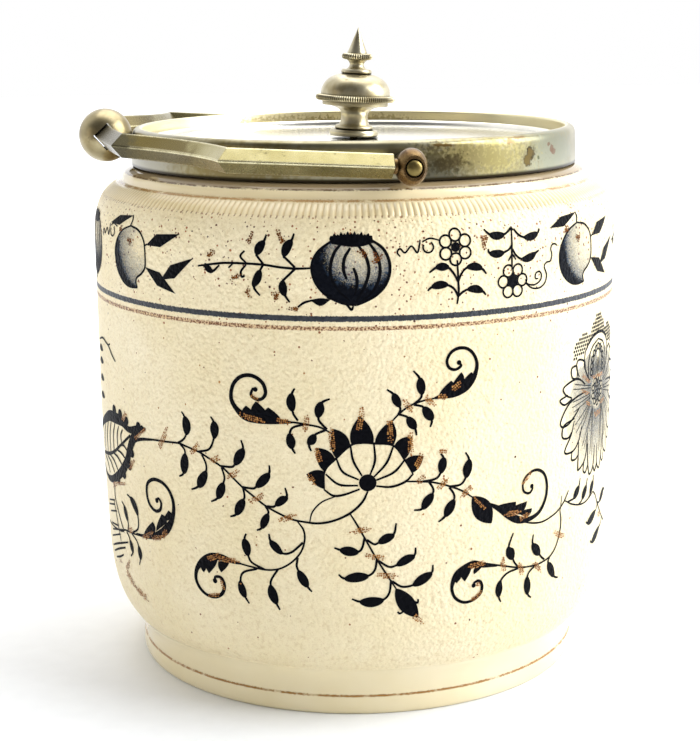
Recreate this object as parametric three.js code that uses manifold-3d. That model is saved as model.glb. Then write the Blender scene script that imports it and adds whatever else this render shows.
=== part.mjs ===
// Biscuit barrel: a cream stoneware jar with a plated collar cemented round its neck,
// a lift-off plated lid with a turned finial, and a swinging bail with a ball grip.
// Millimetres, +Z up. The origin is the centre of the circle that the foot stands on.
// The bail turns about an axis along Y, and at rest it lies lowered on the -X side.
import * as THREE from 'three';
import * as BufferGeometryUtils from 'three/addons/utils/BufferGeometryUtils.js';
import Module from 'manifold-3d';

// Clearance left between two pieces that touch on the real object, and the merging tolerance
const seatGap = 0.3;
const tolerance = 1e-4;

// Jar, outside
const jarRadius = 72.1;
const lowSideRadius = 71.0;
const coveTopRadius = 65.0;
const footWaistRadius = 61.9;
const footRingRadius = 62.3;
const footEdge = 1.2;
const footRingHeight = 5.4;
const coveHeight = 8.1;
const turnUnderHeight = 22.5;
const jarHeight = 138.0;
const neckHeight = 3.5;
const shoulderHeight = 16.5;
const shoulderTopRadius = 64.3;
const neckRadius = 61.0;

// Jar, underside and inside
const footRingWidth = 5.4;
const footRecess = 3.0;
const baseThickness = 5.5;
const sideWall = 6.0;
const floorCorner = 13.0;
const neckWall = 4.0;
const shoulderWall = 5.0;

// Rim of the jar that stands up inside the collar
const socketDepth = 3.4;
const socketHeight = 3.8;
const rimRound = 1.0;

// Collar
const collarWall = 1.2;
const collarTaper = 0.3;
const collarHeight = 10.0;
const collarTopRound = 2.2;
const collarInsideRound = 0.6;
const collarFoldWidth = 2.8;
const ledgeWidth = 5.0;
const ledgeThickness = 1.0;

// Lid
const lidClearance = 0.4;
const lidThickness = 1.0;
const lidBeadHeight = 1.2;
const lidBeadWidth = 2.6;
const flangeThickness = 1.0;
const flangeDepth = 4.0;

// Finial, a stack of turned pieces on one stud
const finialLean = THREE.MathUtils.degToRad(3);
const studRadius = 1.0;
const studBelowNut = 0.8;
const studInSpike = 1.8;
const finialFootRadius = 6.4;
const finialFootThickness = 1.7;
const finialStepRadius = 4.95;
const finialStepThickness = 1.3;
const finialStemRadius = 3.7;
const finialStemHeight = 5.4;
const finialFlareRadius = 9.1;
const finialFlareThickness = 1.0;
const footSwell = 0.35;
const beadRingRadius = 11.0;
const beadRingThickness = 1.3;
const beadRingCount = 32;
const beadDepth = 0.4;
const domeRadius = 9.6;
const domeHeight = 5.6;
const domeCollarRadius = 3.9;
const domeCollarThickness = 1.3;
const domeWaistRadius = 1.95;
const domeWaistHeight = 2.5;
const domeTopRadius = 2.8;
const smallRingRadius = 4.2;
const smallRingThickness = 1.3;
const smallRingCount = 20;
const spikeRadius = 2.75;
const spikeHeight = 7.0;
const washerRadius = 4.0;
const washerThickness = 0.8;
const nutAcrossCorners = 6.4;
const nutThickness = 2.2;

// Bail pivots
const pivotRise = 4.3;
const bossRadius = 3.0;
const bossLength = 2.7;
const pivotWasherRadius = 3.4;
const pivotWasherThickness = 0.6;
const screwRadius = 1.3;
const screwIntoBoss = 1.9;
const screwHeadRadius = 1.95;
const screwHeadDepth = 1.4;
const screwHeadDome = 0.8;
const headClearance = 0.35;
const knuckleLength = 7.0;
const knuckleHalfHeight = 4.6;
const knuckleHalfWidth = 4.0;
const knuckleFaceRadius = 3.1;

// Bail, a square bar set on edge, in its own plane: reach from the pivot axis and offset along it
const restTilt = THREE.MathUtils.degToRad(3.5);
const barSide = 4.5;
const kinkReach = 44.5;
const cornerOffset = 35.4;
const shoulderHollow = 4.0;
const crossbarBow = 2.0;
const gripRadius = 7.1;
const gripHoleClearance = 0.35;

// Fullness of the curves: where the one or two control points of each curve stand between its
// start and its end, as shares of its width and of its height
const coveForm = [[0.2, 0.67]];
const turnUnderForm = [[0.6, 0.2], [0.95, 0.45]];
const sideForm = [[1, 0.55]];
const shoulderForm = [[0, 0.58], [0.2, 0.86]];
const neckForm = [[0.06, 0.75]];
const innerShoulderForm = [[0.84, 0.08], [1, 0.37]];
const outwardForm = [[1, 0]];
const upwardForm = [[0, 1]];
const beadInsideForm = [[0.6, 0]];
const stemLowForm = [[1, 0.3]];
const stemHighForm = [[0, 0.9]];
const beadEdgeShare = 0.22;
const domeForm = [[0, 0.55], [0.45, 0.95]];
const spikeForm = [[0.42, 0.4]];
const screwHeadForm = [[0.15, 1]];

// Facets
const jarSides = 54;
const finialSides = 22;
const pivotSides = 20;
const gripSides = 20;
const gripRings = 12;

// Places that follow from the sizes above
const coveTop = footRingHeight + coveHeight;
const sideStart = coveTop + turnUnderHeight;
const shoulderTop = jarHeight - neckHeight;
const sideEnd = shoulderTop - shoulderHeight;
const floorLevel = footRecess + baseThickness;
const socketRadius = neckRadius - socketDepth;
const mouthRadius = socketRadius - neckWall;
const jarRim = jarHeight + socketHeight;
const collarBottom = jarHeight + seatGap;
const collarTop = collarBottom + collarHeight;
const collarRadius = neckRadius + collarTaper;
const ledgeUnder = jarRim + seatGap;
const ledgeTop = ledgeUnder + ledgeThickness;
const collarInner = collarRadius - collarTaper - collarFoldWidth;
const ledgeInner = collarInner - ledgeWidth;
const lidRadius = collarInner - lidClearance;
const lidUnder = ledgeTop + seatGap;
const lidTop = lidUnder + lidThickness;
const studHole = studRadius + seatGap;
const pivotHeight = collarBottom + pivotRise;
const bossFace = collarRadius + seatGap + bossLength;
const washerFace = bossFace + seatGap + pivotWasherThickness;
const knuckleBack = washerFace + seatGap;
const knuckleFront = knuckleBack + knuckleLength;
const headSeat = knuckleFront - screwHeadDepth;
const halfBar = barSide / Math.SQRT2;
const barOffset = knuckleBack + knuckleLength / 2;
const gripReach = collarRadius + gripRadius;
const cornerReach = gripReach - crossbarBow;

// Plating, ceramic and plaster as the eye sees them
const glazedStoneware = new THREE.MeshStandardMaterial({ color: 0xeadfb9, roughness: 0.35, metalness: 0 });
const plaster = new THREE.MeshStandardMaterial({ color: 0xd8d2c4, roughness: 0.95, metalness: 0 });
const wornPlate = new THREE.MeshStandardMaterial({ color: 0xa39a70, roughness: 0.3, metalness: 1 });
const brightPlate = new THREE.MeshStandardMaterial({ color: 0xd9d6c6, roughness: 0.18, metalness: 1 });
const bareBronze = new THREE.MeshStandardMaterial({ color: 0x8a6244, roughness: 0.4, metalness: 1 });
const turnedBrass = new THREE.MeshStandardMaterial({ color: 0xa8925a, roughness: 0.35, metalness: 1 });

const wasm = await Module();
wasm.setup();

// Points of a curve from a to b by its form, without its first point
function curve(a, b, form, steps) {
  const pulls = form.map(([s, t]) => new THREE.Vector2(a[0] + (b[0] - a[0]) * s, a[1] + (b[1] - a[1]) * t));
  const [start, end] = [new THREE.Vector2(...a), new THREE.Vector2(...b)];
  const drawn = pulls.length === 1
    ? new THREE.QuadraticBezierCurve(start, pulls[0], end)
    : new THREE.CubicBezierCurve(start, pulls[0], pulls[1], end);
  return drawn.getPoints(steps).slice(1).map((p) => [p.x, p.y]);
}

// Points of a moulding that swells to a crest half way between two points, without its first point
function moulding(a, b, crest, steps) {
  const middle = [2 * crest - (a[0] + b[0]) / 2, (a[1] + b[1]) / 2];
  const swell = new THREE.QuadraticBezierCurve(
    new THREE.Vector2(...a), new THREE.Vector2(...middle), new THREE.Vector2(...b));
  return swell.getPoints(steps).slice(1).map((p) => [p.x, p.y]);
}

// A turned solid about Z from an outline of [radius, height] points
function turned(outline, sides) {
  const points = outline.map(([radius, height]) => new THREE.Vector2(radius, height));
  const geometry = new THREE.LatheGeometry(points, sides);
  geometry.rotateX(Math.PI / 2);
  return geometry;
}

// A flat ring about Z
function ring(inner, outer, low, high, sides) {
  return turned([[inner, low], [outer, low], [outer, high], [inner, high], [inner, low]], sides);
}

// A turned solid whose rim is cut into beads: past the inner radius it dips by a cosine of the angle
function beaded(outline, count, fromRadius) {
  const geometry = turned(outline, 2 * count);
  const position = geometry.attributes.position;
  for (let i = 0; i < position.count; i += 1) {
    const radius = Math.hypot(position.getX(i), position.getY(i));
    if (radius > fromRadius + tolerance) {
      const angle = Math.atan2(position.getY(i), position.getX(i));
      const dip = beadDepth * (1 - Math.cos(count * (angle + Math.PI / 2))) / 2;
      const scale = (radius - dip) / radius;
      position.setXYZ(i, position.getX(i) * scale, position.getY(i) * scale, position.getZ(i));
    }
  }
  return geometry;
}

// Boolean cuts, on closed meshes with merged corners
function toManifold(geometry) {
  const bare = geometry.clone();
  bare.deleteAttribute('normal');
  bare.deleteAttribute('uv');
  const merged = BufferGeometryUtils.mergeVertices(bare, tolerance);
  const triangles = [];
  const index = merged.index.array;
  for (let i = 0; i < index.length; i += 3) {
    const [a, b, c] = [index[i], index[i + 1], index[i + 2]];
    if (a !== b && b !== c && c !== a) {
      triangles.push(a, b, c);
    }
  }
  return new wasm.Manifold(new wasm.Mesh({
    numProp: 3,
    vertProperties: new Float32Array(merged.attributes.position.array),
    triVerts: new Uint32Array(triangles),
  }));
}

function cut(geometry, ...tools) {
  let solid = toManifold(geometry);
  for (const tool of tools) {
    solid = solid.subtract(toManifold(tool));
  }
  const mesh = solid.getMesh();
  const result = new THREE.BufferGeometry();
  result.setAttribute('position', new THREE.BufferAttribute(new Float32Array(mesh.vertProperties), 3));
  result.setIndex(new THREE.BufferAttribute(new Uint32Array(mesh.triVerts), 1));
  return result;
}

function named(name, geometry, material) {
  const mesh = new THREE.Mesh(geometry, material);
  mesh.name = name;
  return mesh;
}

// Jar: foot ring, glazed cove, swelling side, rounded shoulder, short neck and a rim for the collar
function jarBody() {
  const underside = footRingRadius - footEdge;
  const ringInner = underside - footRingWidth;
  const footCrest = [footRingRadius, footRingHeight / 2];
  const footEnd = [footWaistRadius, footRingHeight];
  const coveEnd = [coveTopRadius, coveTop];
  const lowSide = [lowSideRadius, sideStart];
  const middle = [jarRadius, (sideStart + sideEnd) / 2];
  const highSide = [jarRadius, sideEnd];
  const shoulderEnd = [shoulderTopRadius, shoulderTop];
  const outside = [
    [0, footRecess],
    [ringInner - footRecess, footRecess],
    [ringInner, 0],
    [underside, 0],
    ...curve([underside, 0], footCrest, outwardForm, 2),
    ...curve(footCrest, footEnd, upwardForm, 2),
    ...curve(footEnd, coveEnd, coveForm, 3),
    ...curve(coveEnd, lowSide, turnUnderForm, 6),
    ...curve(lowSide, middle, sideForm, 3),
    highSide,
    ...curve(highSide, shoulderEnd, shoulderForm, 7),
    ...curve(shoulderEnd, [neckRadius, jarHeight], neckForm, 3),
  ];
  const rimOuter = [socketRadius, jarRim - rimRound];
  const rimInner = [mouthRadius + rimRound, jarRim];
  const rim = [
    [socketRadius, jarHeight],
    rimOuter,
    ...curve(rimOuter, [socketRadius - rimRound, jarRim], upwardForm, 2),
    rimInner,
    ...curve(rimInner, [mouthRadius, jarRim - rimRound], outwardForm, 2),
  ];
  const mouthEnd = [mouthRadius, shoulderTop];
  const innerNeck = [mouthRadius + shoulderWall, shoulderTop - shoulderWall];
  const innerHigh = [jarRadius - sideWall, sideEnd - shoulderWall];
  const innerLow = [lowSideRadius - sideWall, sideStart];
  const inside = [
    mouthEnd,
    ...curve(mouthEnd, innerNeck, upwardForm, 2),
    ...curve(innerNeck, innerHigh, innerShoulderForm, 4),
    innerLow,
    ...curve(innerLow, [innerLow[0] - floorCorner, floorLevel], upwardForm, 4),
    [0, floorLevel],
  ];
  return turned([...outside, ...rim, ...inside], jarSides);
}

// Plaster that beds the collar on the jar's rim
function cementRing() {
  return ring(socketRadius + seatGap, collarRadius - collarWall - seatGap, jarHeight + seatGap,
    ledgeUnder - seatGap, jarSides);
}

// Collar: an outer wall folded over at the top and returned inwards to the ledge that carries the lid
function collarBand() {
  const crest = collarInner + (collarFoldWidth - collarTopRound);
  const roundStart = [collarRadius - collarTaper, collarTop - collarTopRound];
  const roundEnd = [crest, collarTop];
  return turned([
    [collarRadius, collarBottom],
    roundStart,
    ...curve(roundStart, roundEnd, upwardForm, 4),
    ...curve(roundEnd, [collarInner, collarTop - collarInsideRound], outwardForm, 2),
    [collarInner, ledgeTop],
    [ledgeInner, ledgeTop],
    [ledgeInner, ledgeUnder],
    [collarRadius - collarWall, ledgeUnder],
    [collarRadius - collarWall, collarBottom],
    [collarRadius, collarBottom],
  ], jarSides);
}

// Lid: a flat plate with a raised bead round its edge
function lidPlate() {
  const outer = [lidRadius, lidTop];
  const crest = [lidRadius - lidBeadHeight, lidTop + lidBeadHeight];
  const inner = [lidRadius - lidBeadWidth, lidTop];
  return turned([
    [studHole, lidUnder],
    [lidRadius, lidUnder],
    outer,
    ...curve(outer, crest, upwardForm, 3),
    ...curve(crest, inner, beadInsideForm, 3),
    [studHole, lidTop],
    [studHole, lidUnder],
  ], jarSides);
}

// Ring under the lid that keeps it central in the collar's ledge
function lidFlange() {
  const outer = ledgeInner - lidClearance;
  const high = lidUnder - seatGap;
  return ring(outer - flangeThickness, outer, high - flangeDepth, high, jarSides);
}

// Finial pieces, each from its own underside; the stack gives them their heights
function finialFoot() {
  const discTop = finialFootThickness;
  const stepTop = discTop + finialStepThickness;
  const stemTop = stepTop + finialStemHeight;
  const flareTop = stemTop + finialFlareThickness;
  const stemLow = [finialStemRadius + (finialStepRadius - finialStemRadius) / 2, stepTop];
  const stemWaist = [finialStemRadius, stepTop + finialStemHeight / 2];
  const stemHigh = [finialFlareRadius, stemTop];
  return turned([
    [studHole, 0],
    [finialFootRadius, 0],
    ...moulding([finialFootRadius, 0], [finialFootRadius, discTop], finialFootRadius + footSwell, 3),
    [finialStepRadius, discTop],
    ...moulding([finialStepRadius, discTop], [finialStepRadius, stepTop], finialStepRadius + footSwell, 2),
    stemLow,
    ...curve(stemLow, stemWaist, stemLowForm, 3),
    ...curve(stemWaist, stemHigh, stemHighForm, 4),
    [finialFlareRadius, flareTop],
    [studHole, flareTop],
    [studHole, 0],
  ], finialSides);
}

function beadRing(radius, thickness, count, root) {
  const edge = thickness * beadEdgeShare;
  const shoulder = radius - edge;
  return beaded([
    [studHole, 0],
    [root, 0],
    [shoulder, edge],
    [radius, thickness / 2],
    [shoulder, thickness - edge],
    [root, thickness],
    [studHole, thickness],
    [studHole, 0],
  ], count, root);
}

function finialDome() {
  const collarHigh = domeHeight + domeCollarThickness;
  const top = collarHigh + domeWaistHeight;
  const domeEnd = [domeCollarRadius, domeHeight];
  const collarEnd = [domeTopRadius, collarHigh];
  return turned([
    [studHole, 0],
    [domeRadius, 0],
    ...curve([domeRadius, 0], domeEnd, domeForm, 6),
    ...moulding(domeEnd, [domeCollarRadius, collarHigh], domeCollarRadius + footSwell, 3),
    collarEnd,
    ...moulding(collarEnd, [domeTopRadius, top], domeWaistRadius, 4),
    [studHole, top],
    [studHole, 0],
  ], finialSides);
}

function finialSpike() {
  const boreTop = studInSpike + seatGap;
  return turned([
    [studHole, 0],
    [spikeRadius, 0],
    ...curve([spikeRadius, 0], [0, spikeHeight], spikeForm, 4),
    [0, boreTop],
    [studHole, boreTop],
    [studHole, 0],
  ], finialSides);
}

function hexNut() {
  const outline = new THREE.Shape();
  for (let i = 0; i < 6; i += 1) {
    const angle = i * Math.PI / 3;
    const corner = [nutAcrossCorners / 2 * Math.cos(angle), nutAcrossCorners / 2 * Math.sin(angle)];
    if (i === 0) {
      outline.moveTo(...corner);
    } else {
      outline.lineTo(...corner);
    }
  }
  outline.closePath();
  const bore = new THREE.Path();
  bore.absarc(0, 0, studHole, 0, 2 * Math.PI, true);
  outline.holes.push(bore);
  return new THREE.ExtrudeGeometry(outline, { depth: nutThickness, bevelEnabled: false, curveSegments: 8 });
}

// Knuckle: an upright egg with its ends cut flat, bored for the screw and sunk for its head
function knuckleEgg(grow) {
  const low = knuckleBack - grow;
  const high = knuckleFront + grow;
  const face = knuckleFaceRadius + grow;
  const full = knuckleHalfHeight + grow;
  const egg = turned([
    [0, low],
    [face, low],
    ...moulding([face, low], [face, high], full, 8),
    [0, high],
  ], pivotSides);
  egg.scale((knuckleHalfWidth + grow) / full, 1, 1);
  return egg.rotateX(Math.PI / 2);
}

function knuckle() {
  const bore = screwRadius + seatGap;
  const sink = screwHeadRadius + headClearance;
  const hole = turned([
    [0, knuckleBack - knuckleLength],
    [bore, knuckleBack - knuckleLength],
    [bore, headSeat],
    [sink, headSeat],
    [sink, knuckleFront + knuckleLength],
    [0, knuckleFront + knuckleLength],
  ], pivotSides);
  return cut(knuckleEgg(0), hole.rotateX(Math.PI / 2));
}

function pivotBoss() {
  const bottom = collarRadius + seatGap;
  const bore = screwRadius + seatGap;
  const boreEnd = bossFace - screwIntoBoss - seatGap;
  return turned([
    [0, bottom],
    [bossRadius, bottom],
    [bossRadius, bossFace],
    [bore, bossFace],
    [bore, boreEnd],
    [0, boreEnd],
  ], pivotSides).rotateX(Math.PI / 2);
}

function pivotWasher() {
  const low = bossFace + seatGap;
  return ring(screwRadius + seatGap, pivotWasherRadius, low, washerFace, pivotSides).rotateX(Math.PI / 2);
}

function pivotScrew() {
  const headLow = headSeat + seatGap;
  const tip = bossFace - screwIntoBoss;
  return turned([
    [0, tip],
    [screwRadius, tip],
    [screwRadius, headLow],
    [screwHeadRadius, headLow],
    [screwHeadRadius, knuckleFront],
    ...curve([screwHeadRadius, knuckleFront], [0, knuckleFront + screwHeadDome], screwHeadForm, 4),
  ], pivotSides).rotateX(Math.PI / 2);
}

// A square bar on edge, carried along a line of [reach, offset] points in the bail's plane.
// Each end is cut along a given direction in that plane, so that two bars meet in a mitre.
function edgewiseBar(line, startCut, endCut) {
  const corners = [];
  const last = line.length - 1;
  line.forEach(([reach, offset], i) => {
    const before = line[Math.max(i - 1, 0)];
    const after = line[Math.min(i + 1, last)];
    const along = new THREE.Vector2(after[0] - before[0], after[1] - before[1]).normalize();
    const square = new THREE.Vector2(along.y, -along.x);
    const direction = (i === 0 && startCut) || (i === last && endCut) || square;
    const side = direction.clone().multiplyScalar(halfBar / direction.dot(square));
    corners.push(
      [reach + side.x, offset + side.y, 0],
      [reach, offset, halfBar],
      [reach - side.x, offset - side.y, 0],
      [reach, offset, -halfBar],
    );
  });
  const vertices = corners.flatMap(([reach, offset, height]) => [-reach, -offset, height]);
  const index = [];
  for (let i = 0; i < last; i += 1) {
    for (let k = 0; k < 4; k += 1) {
      const a = 4 * i + k;
      const b = 4 * i + (k + 1) % 4;
      index.push(a, b + 4, b, a, a + 4, b + 4);
    }
  }
  const end = 4 * last;
  index.push(0, 1, 2, 0, 2, 3, end, end + 2, end + 1, end, end + 3, end + 2);
  const geometry = new THREE.BufferGeometry();
  geometry.setAttribute('position', new THREE.Float32BufferAttribute(vertices, 3));
  geometry.setIndex(index);
  return geometry;
}

// Points of the bail's plan: the straight arm, the hollow-curved shoulder and the bowed crossbar
const kink = new THREE.Vector2(kinkReach, barOffset);
const corner = new THREE.Vector2(cornerReach, cornerOffset);
const chord = corner.clone().sub(kink);
const hollow = new THREE.Vector2(chord.y, -chord.x).normalize().multiplyScalar(2 * shoulderHollow);
const shoulderCurve = new THREE.QuadraticBezierCurve(
  kink, kink.clone().add(corner).multiplyScalar(0.5).add(hollow), corner);
const crossbarCurve = new THREE.QuadraticBezierCurve(
  corner, new THREE.Vector2(cornerReach + 2 * crossbarBow, 0), new THREE.Vector2(cornerReach, -cornerOffset));

// The cut shared by two bars: it halves the angle between their directions
function mitre(before, after) {
  return before.clone().sub(after).normalize();
}

const armDirection = new THREE.Vector2(1, 0);
const kinkCut = mitre(armDirection, shoulderCurve.getTangent(0));
const cornerCut = mitre(shoulderCurve.getTangent(1), crossbarCurve.getTangent(0));
const farCornerCut = new THREE.Vector2(cornerCut.x, -cornerCut.y);

// Points of a curve, drawn back by half the seat gap at the ends that meet another bar
function linePoints(curve, steps) {
  const points = curve.getPoints(steps);
  const back = seatGap / 2;
  points[0].addScaledVector(curve.getTangent(0), back);
  points[steps].addScaledVector(curve.getTangent(1), -back);
  return points.map((p) => [p.x, p.y]);
}

function bailArm() {
  const bar = edgewiseBar([[0, barOffset], [kinkReach - seatGap / 2, barOffset]], null, kinkCut);
  return cut(bar, knuckleEgg(seatGap));
}

function bailShoulder() {
  return edgewiseBar(linePoints(shoulderCurve, 8), kinkCut, cornerCut);
}

function bailCrossbar() {
  return edgewiseBar(linePoints(crossbarCurve, 10), cornerCut, farCornerCut);
}

// Ball grip, bored square to slide on the crossbar
function gripBall() {
  const ball = new THREE.SphereGeometry(gripRadius, gripSides, gripRings);
  ball.translate(-gripReach, 0, 0);
  const holeSide = barSide + 2 * gripHoleClearance;
  const hole = new THREE.BoxGeometry(holeSide, 3 * gripRadius, holeSide);
  hole.rotateY(Math.PI / 4);
  hole.translate(-gripReach, 0, 0);
  return cut(ball, hole);
}

// Assembly: the jar and what is fixed to it
const barrel = new THREE.Group();
barrel.add(named('barrel_body', jarBody(), glazedStoneware));
barrel.add(named('cement_ring', cementRing(), plaster));
barrel.add(named('collar_band', collarBand(), wornPlate));

const pivots = new THREE.Group();
pivots.position.z = pivotHeight;
for (const [side, turn] of [['front', 0], ['rear', Math.PI]]) {
  const ends = new THREE.Group();
  ends.rotation.z = turn;
  ends.add(named(`pivot_boss_${side}`, pivotBoss(), wornPlate));
  ends.add(named(`pivot_washer_${side}`, pivotWasher(), turnedBrass));
  ends.add(named(`pivot_screw_${side}`, pivotScrew(), turnedBrass));
  pivots.add(ends);
}
barrel.add(pivots);

// The bail, turned about the pivot axis; its rear half is the front half turned over about X
const bail = new THREE.Group();
bail.position.z = pivotHeight;
bail.rotation.y = restTilt;
for (const [side, turn] of [['front', 0], ['rear', Math.PI]]) {
  const half = new THREE.Group();
  half.rotation.x = turn;
  half.add(named(`knuckle_${side}`, knuckle(), bareBronze));
  half.add(named(`bail_arm_${side}`, bailArm(), wornPlate));
  half.add(named(`bail_shoulder_${side}`, bailShoulder(), wornPlate));
  bail.add(half);
}
bail.add(named('bail_crossbar', bailCrossbar(), wornPlate));
bail.add(named('grip_ball', gripBall(), wornPlate));

// The lid, with the finial's stack on its stud, leaning a little as the real one does
const lid = new THREE.Group();
lid.add(named('lid_plate', lidPlate(), brightPlate));
lid.add(named('lid_flange', lidFlange(), wornPlate));

const footSeat = seatGap + finialFootRadius * Math.sin(finialLean);
const nutSeat = washerThickness + 2 * seatGap + nutAcrossCorners / 2 * Math.sin(finialLean);
const finial = new THREE.Group();
finial.position.z = lidTop;
finial.rotation.y = finialLean;
const finialFootHeight = finialFootThickness + finialStepThickness + finialStemHeight + finialFlareThickness;
const finialDomeHeight = domeHeight + domeCollarThickness + domeWaistHeight;
const largeRing = beadRing(beadRingRadius, beadRingThickness, beadRingCount, domeRadius);
const smallRing = beadRing(smallRingRadius, smallRingThickness, smallRingCount, spikeRadius);
const stack = [
  ['finial_foot', finialFoot(), finialFootHeight],
  ['finial_bead_ring', largeRing, beadRingThickness],
  ['finial_dome', finialDome(), finialDomeHeight],
  ['finial_small_ring', smallRing, smallRingThickness],
  ['finial_spike', finialSpike(), spikeHeight],
];
let level = footSeat;
let spikeSeat = footSeat;
for (const [name, geometry, height] of stack) {
  const piece = named(name, geometry, wornPlate);
  piece.position.z = level;
  finial.add(piece);
  spikeSeat = level;
  level += height + seatGap;
}
const nutLevel = -(lidThickness + nutSeat + nutThickness);
const nut = named('finial_nut', hexNut(), turnedBrass);
nut.position.z = nutLevel;
finial.add(nut);
const studLow = nutLevel - studBelowNut;
const studHigh = spikeSeat + studInSpike;
const studOutline = [[0, studLow], [studRadius, studLow], [studRadius, studHigh], [0, studHigh]];
finial.add(named('finial_stud', turned(studOutline, pivotSides), turnedBrass));
lid.add(finial);

const washerTop = lidUnder - seatGap;
lid.add(named('finial_washer', ring(studHole + seatGap, washerRadius, washerTop - washerThickness, washerTop,
  pivotSides), turnedBrass));

const group = new THREE.Group();
group.add(barrel, bail, lid);

export default group;
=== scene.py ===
# %% [markdown]
# # A stoneware biscuit barrel with plated mounts
# The construction comes packed, as rigid solids with joints. This lesson gives it its looks: the glaze, the
# printed pattern, the gilding and the worn plating. It starts by loading that frame. Nothing in the frame
# is moved, and each new piece is drawn at its true place in the same coordinates.

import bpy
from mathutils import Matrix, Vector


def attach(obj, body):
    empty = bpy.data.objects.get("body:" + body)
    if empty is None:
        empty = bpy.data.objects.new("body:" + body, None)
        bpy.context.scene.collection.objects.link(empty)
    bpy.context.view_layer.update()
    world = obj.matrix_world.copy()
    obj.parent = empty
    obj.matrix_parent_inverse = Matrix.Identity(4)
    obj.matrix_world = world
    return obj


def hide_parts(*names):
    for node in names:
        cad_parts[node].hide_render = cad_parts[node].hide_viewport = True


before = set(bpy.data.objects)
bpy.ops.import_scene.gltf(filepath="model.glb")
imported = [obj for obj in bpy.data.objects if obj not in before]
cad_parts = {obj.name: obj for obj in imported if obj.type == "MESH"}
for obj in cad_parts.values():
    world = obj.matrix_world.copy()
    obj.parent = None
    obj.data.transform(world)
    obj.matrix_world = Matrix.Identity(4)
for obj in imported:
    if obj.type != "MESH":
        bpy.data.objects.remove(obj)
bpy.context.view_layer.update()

# %% Libraries and units
import math

import bmesh
import bpy
import numpy as np

MM = 0.001
rng = np.random.default_rng(1885)

# %% [markdown]
# ## Camera
# The photograph was taken with a long lens, from a little above the lid. The camera is placed by the
# photograph: the rings of the jar are circles of known size, and they fix where it stood. The jar is turned
# a little about its axis against the camera, so one angle turns every place that is measured in the
# camera's view.

# %% Camera
VIEW_TURN = math.radians(-11.5)
CAMERA_DISTANCE = 483.1
CAMERA_HEIGHT = 181.9
CAMERA_PITCH = 0.212
CAMERA_ROLL = -0.008
IMAGE_HEIGHT = 741
FOCAL_PIXELS = 1728.7
SENSOR = 36.0
SHIFT_X_PIXELS = -5.5
SHIFT_Y_PIXELS = 1.4


def seen(x, y, z):
    """A place given in the camera's view, with x to the right, y away from it and z up, turned about the
    jar's axis into the frame. Millimetres in, millimetres out."""
    c, s = math.cos(VIEW_TURN), math.sin(VIEW_TURN)
    return np.array([x * c - y * s, x * s + y * c, z])


def placed(name, data):
    """A new object in the scene."""
    made = bpy.data.objects.new(name, data)
    bpy.context.scene.collection.objects.link(made)
    return made


camera_data = bpy.data.cameras.new("camera")
camera_data.sensor_width = SENSOR
camera_data.lens = FOCAL_PIXELS * SENSOR / IMAGE_HEIGHT
camera_data.shift_x = SHIFT_X_PIXELS / IMAGE_HEIGHT
camera_data.shift_y = SHIFT_Y_PIXELS / IMAGE_HEIGHT
camera_data.clip_start, camera_data.clip_end = 0.01, 20
camera = placed("camera", camera_data)
camera.location = seen(0, -CAMERA_DISTANCE, CAMERA_HEIGHT) * MM
camera.rotation_euler = (math.pi / 2 - CAMERA_PITCH, 0, VIEW_TURN)
camera.rotation_euler.rotate_axis("Z", CAMERA_ROLL)
bpy.context.scene.camera = camera
print("lens %.1f mm" % camera_data.lens)

# %% [markdown]
# ## Light and floor
# The photograph has a white ground, a bright window on the right, light from above, and a darker room
# behind the photographer. Polished metal needs that room: it is only as interesting as what it mirrors.
# Soft boxes give the windows, the world is a plain gradient that is bright behind and dark in front, and a
# dark card stands where the photographer stood. The card is seen by mirror-like reflections alone, as a
# flag in a studio is.

# %% Light
KEY_SIZE, KEY_WATTS = 1.1, 22.0
TOP_SIZE, TOP_WATTS = 1.3, 11.0
FILL_SIZE, FILL_WATTS = 1.7, 6.0


def soft_box(name, place, size, watts, tint):
    """A square area light that faces the jar's middle."""
    data = bpy.data.lights.new(name, "AREA")
    data.size, data.energy, data.color = size, watts, tint
    light = placed(name, data)
    light.location = place * MM
    aim = Vector(np.array([0, 0, 80]) * MM) - light.location
    light.rotation_euler = aim.to_track_quat("-Z", "Y").to_euler()
    light.visible_camera = False
    return light


soft_box("key_light", seen(1150, -150, 700), KEY_SIZE, KEY_WATTS, (0.94, 0.97, 1))
soft_box("top_light", seen(150, 500, 1250), TOP_SIZE, TOP_WATTS, (1, 1, 1))
fill_light = soft_box("fill_light", seen(-1000, -900, 600), FILL_SIZE, FILL_WATTS, (0.98, 0.99, 1))
fill_light.visible_glossy = False
bpy.context.scene.view_settings.view_transform = "Standard"

# %% [markdown]
# ## Adding nodes
# A material is a small program of nodes. One function adds a node, sets its own properties and fills its
# sockets, each with a number, a colour or another node's output. Colours are written as hex, as in a paint
# box, and turned to linear light.

# %% Node helpers and colours
def fill(tree, node, sockets):
    """Gives sockets of a node their values, by name or number. Each value is a number, a colour, an output of
    another node, or another node, which stands for its first output in use."""
    for socket, value in dict(sockets).items():
        if isinstance(value, bpy.types.Node):
            value = next(output for output in value.outputs if output.enabled)
        if isinstance(value, bpy.types.NodeSocket):
            tree.links.new(value, node.inputs[socket])
        else:
            node.inputs[socket].default_value = value


def add(tree, kind, *values, sockets=(), **settings):
    """Adds one node and sets its properties. The values fill its sockets in use, one after another, and
    sockets fills others by name."""
    node = tree.nodes.new("ShaderNode" + kind)
    for key, value in settings.items():
        setattr(node, key, value)
    in_use = [number for number, socket in enumerate(node.inputs) if socket.enabled]
    fill(tree, node, zip(in_use, values))
    fill(tree, node, sockets)
    return node


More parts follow.
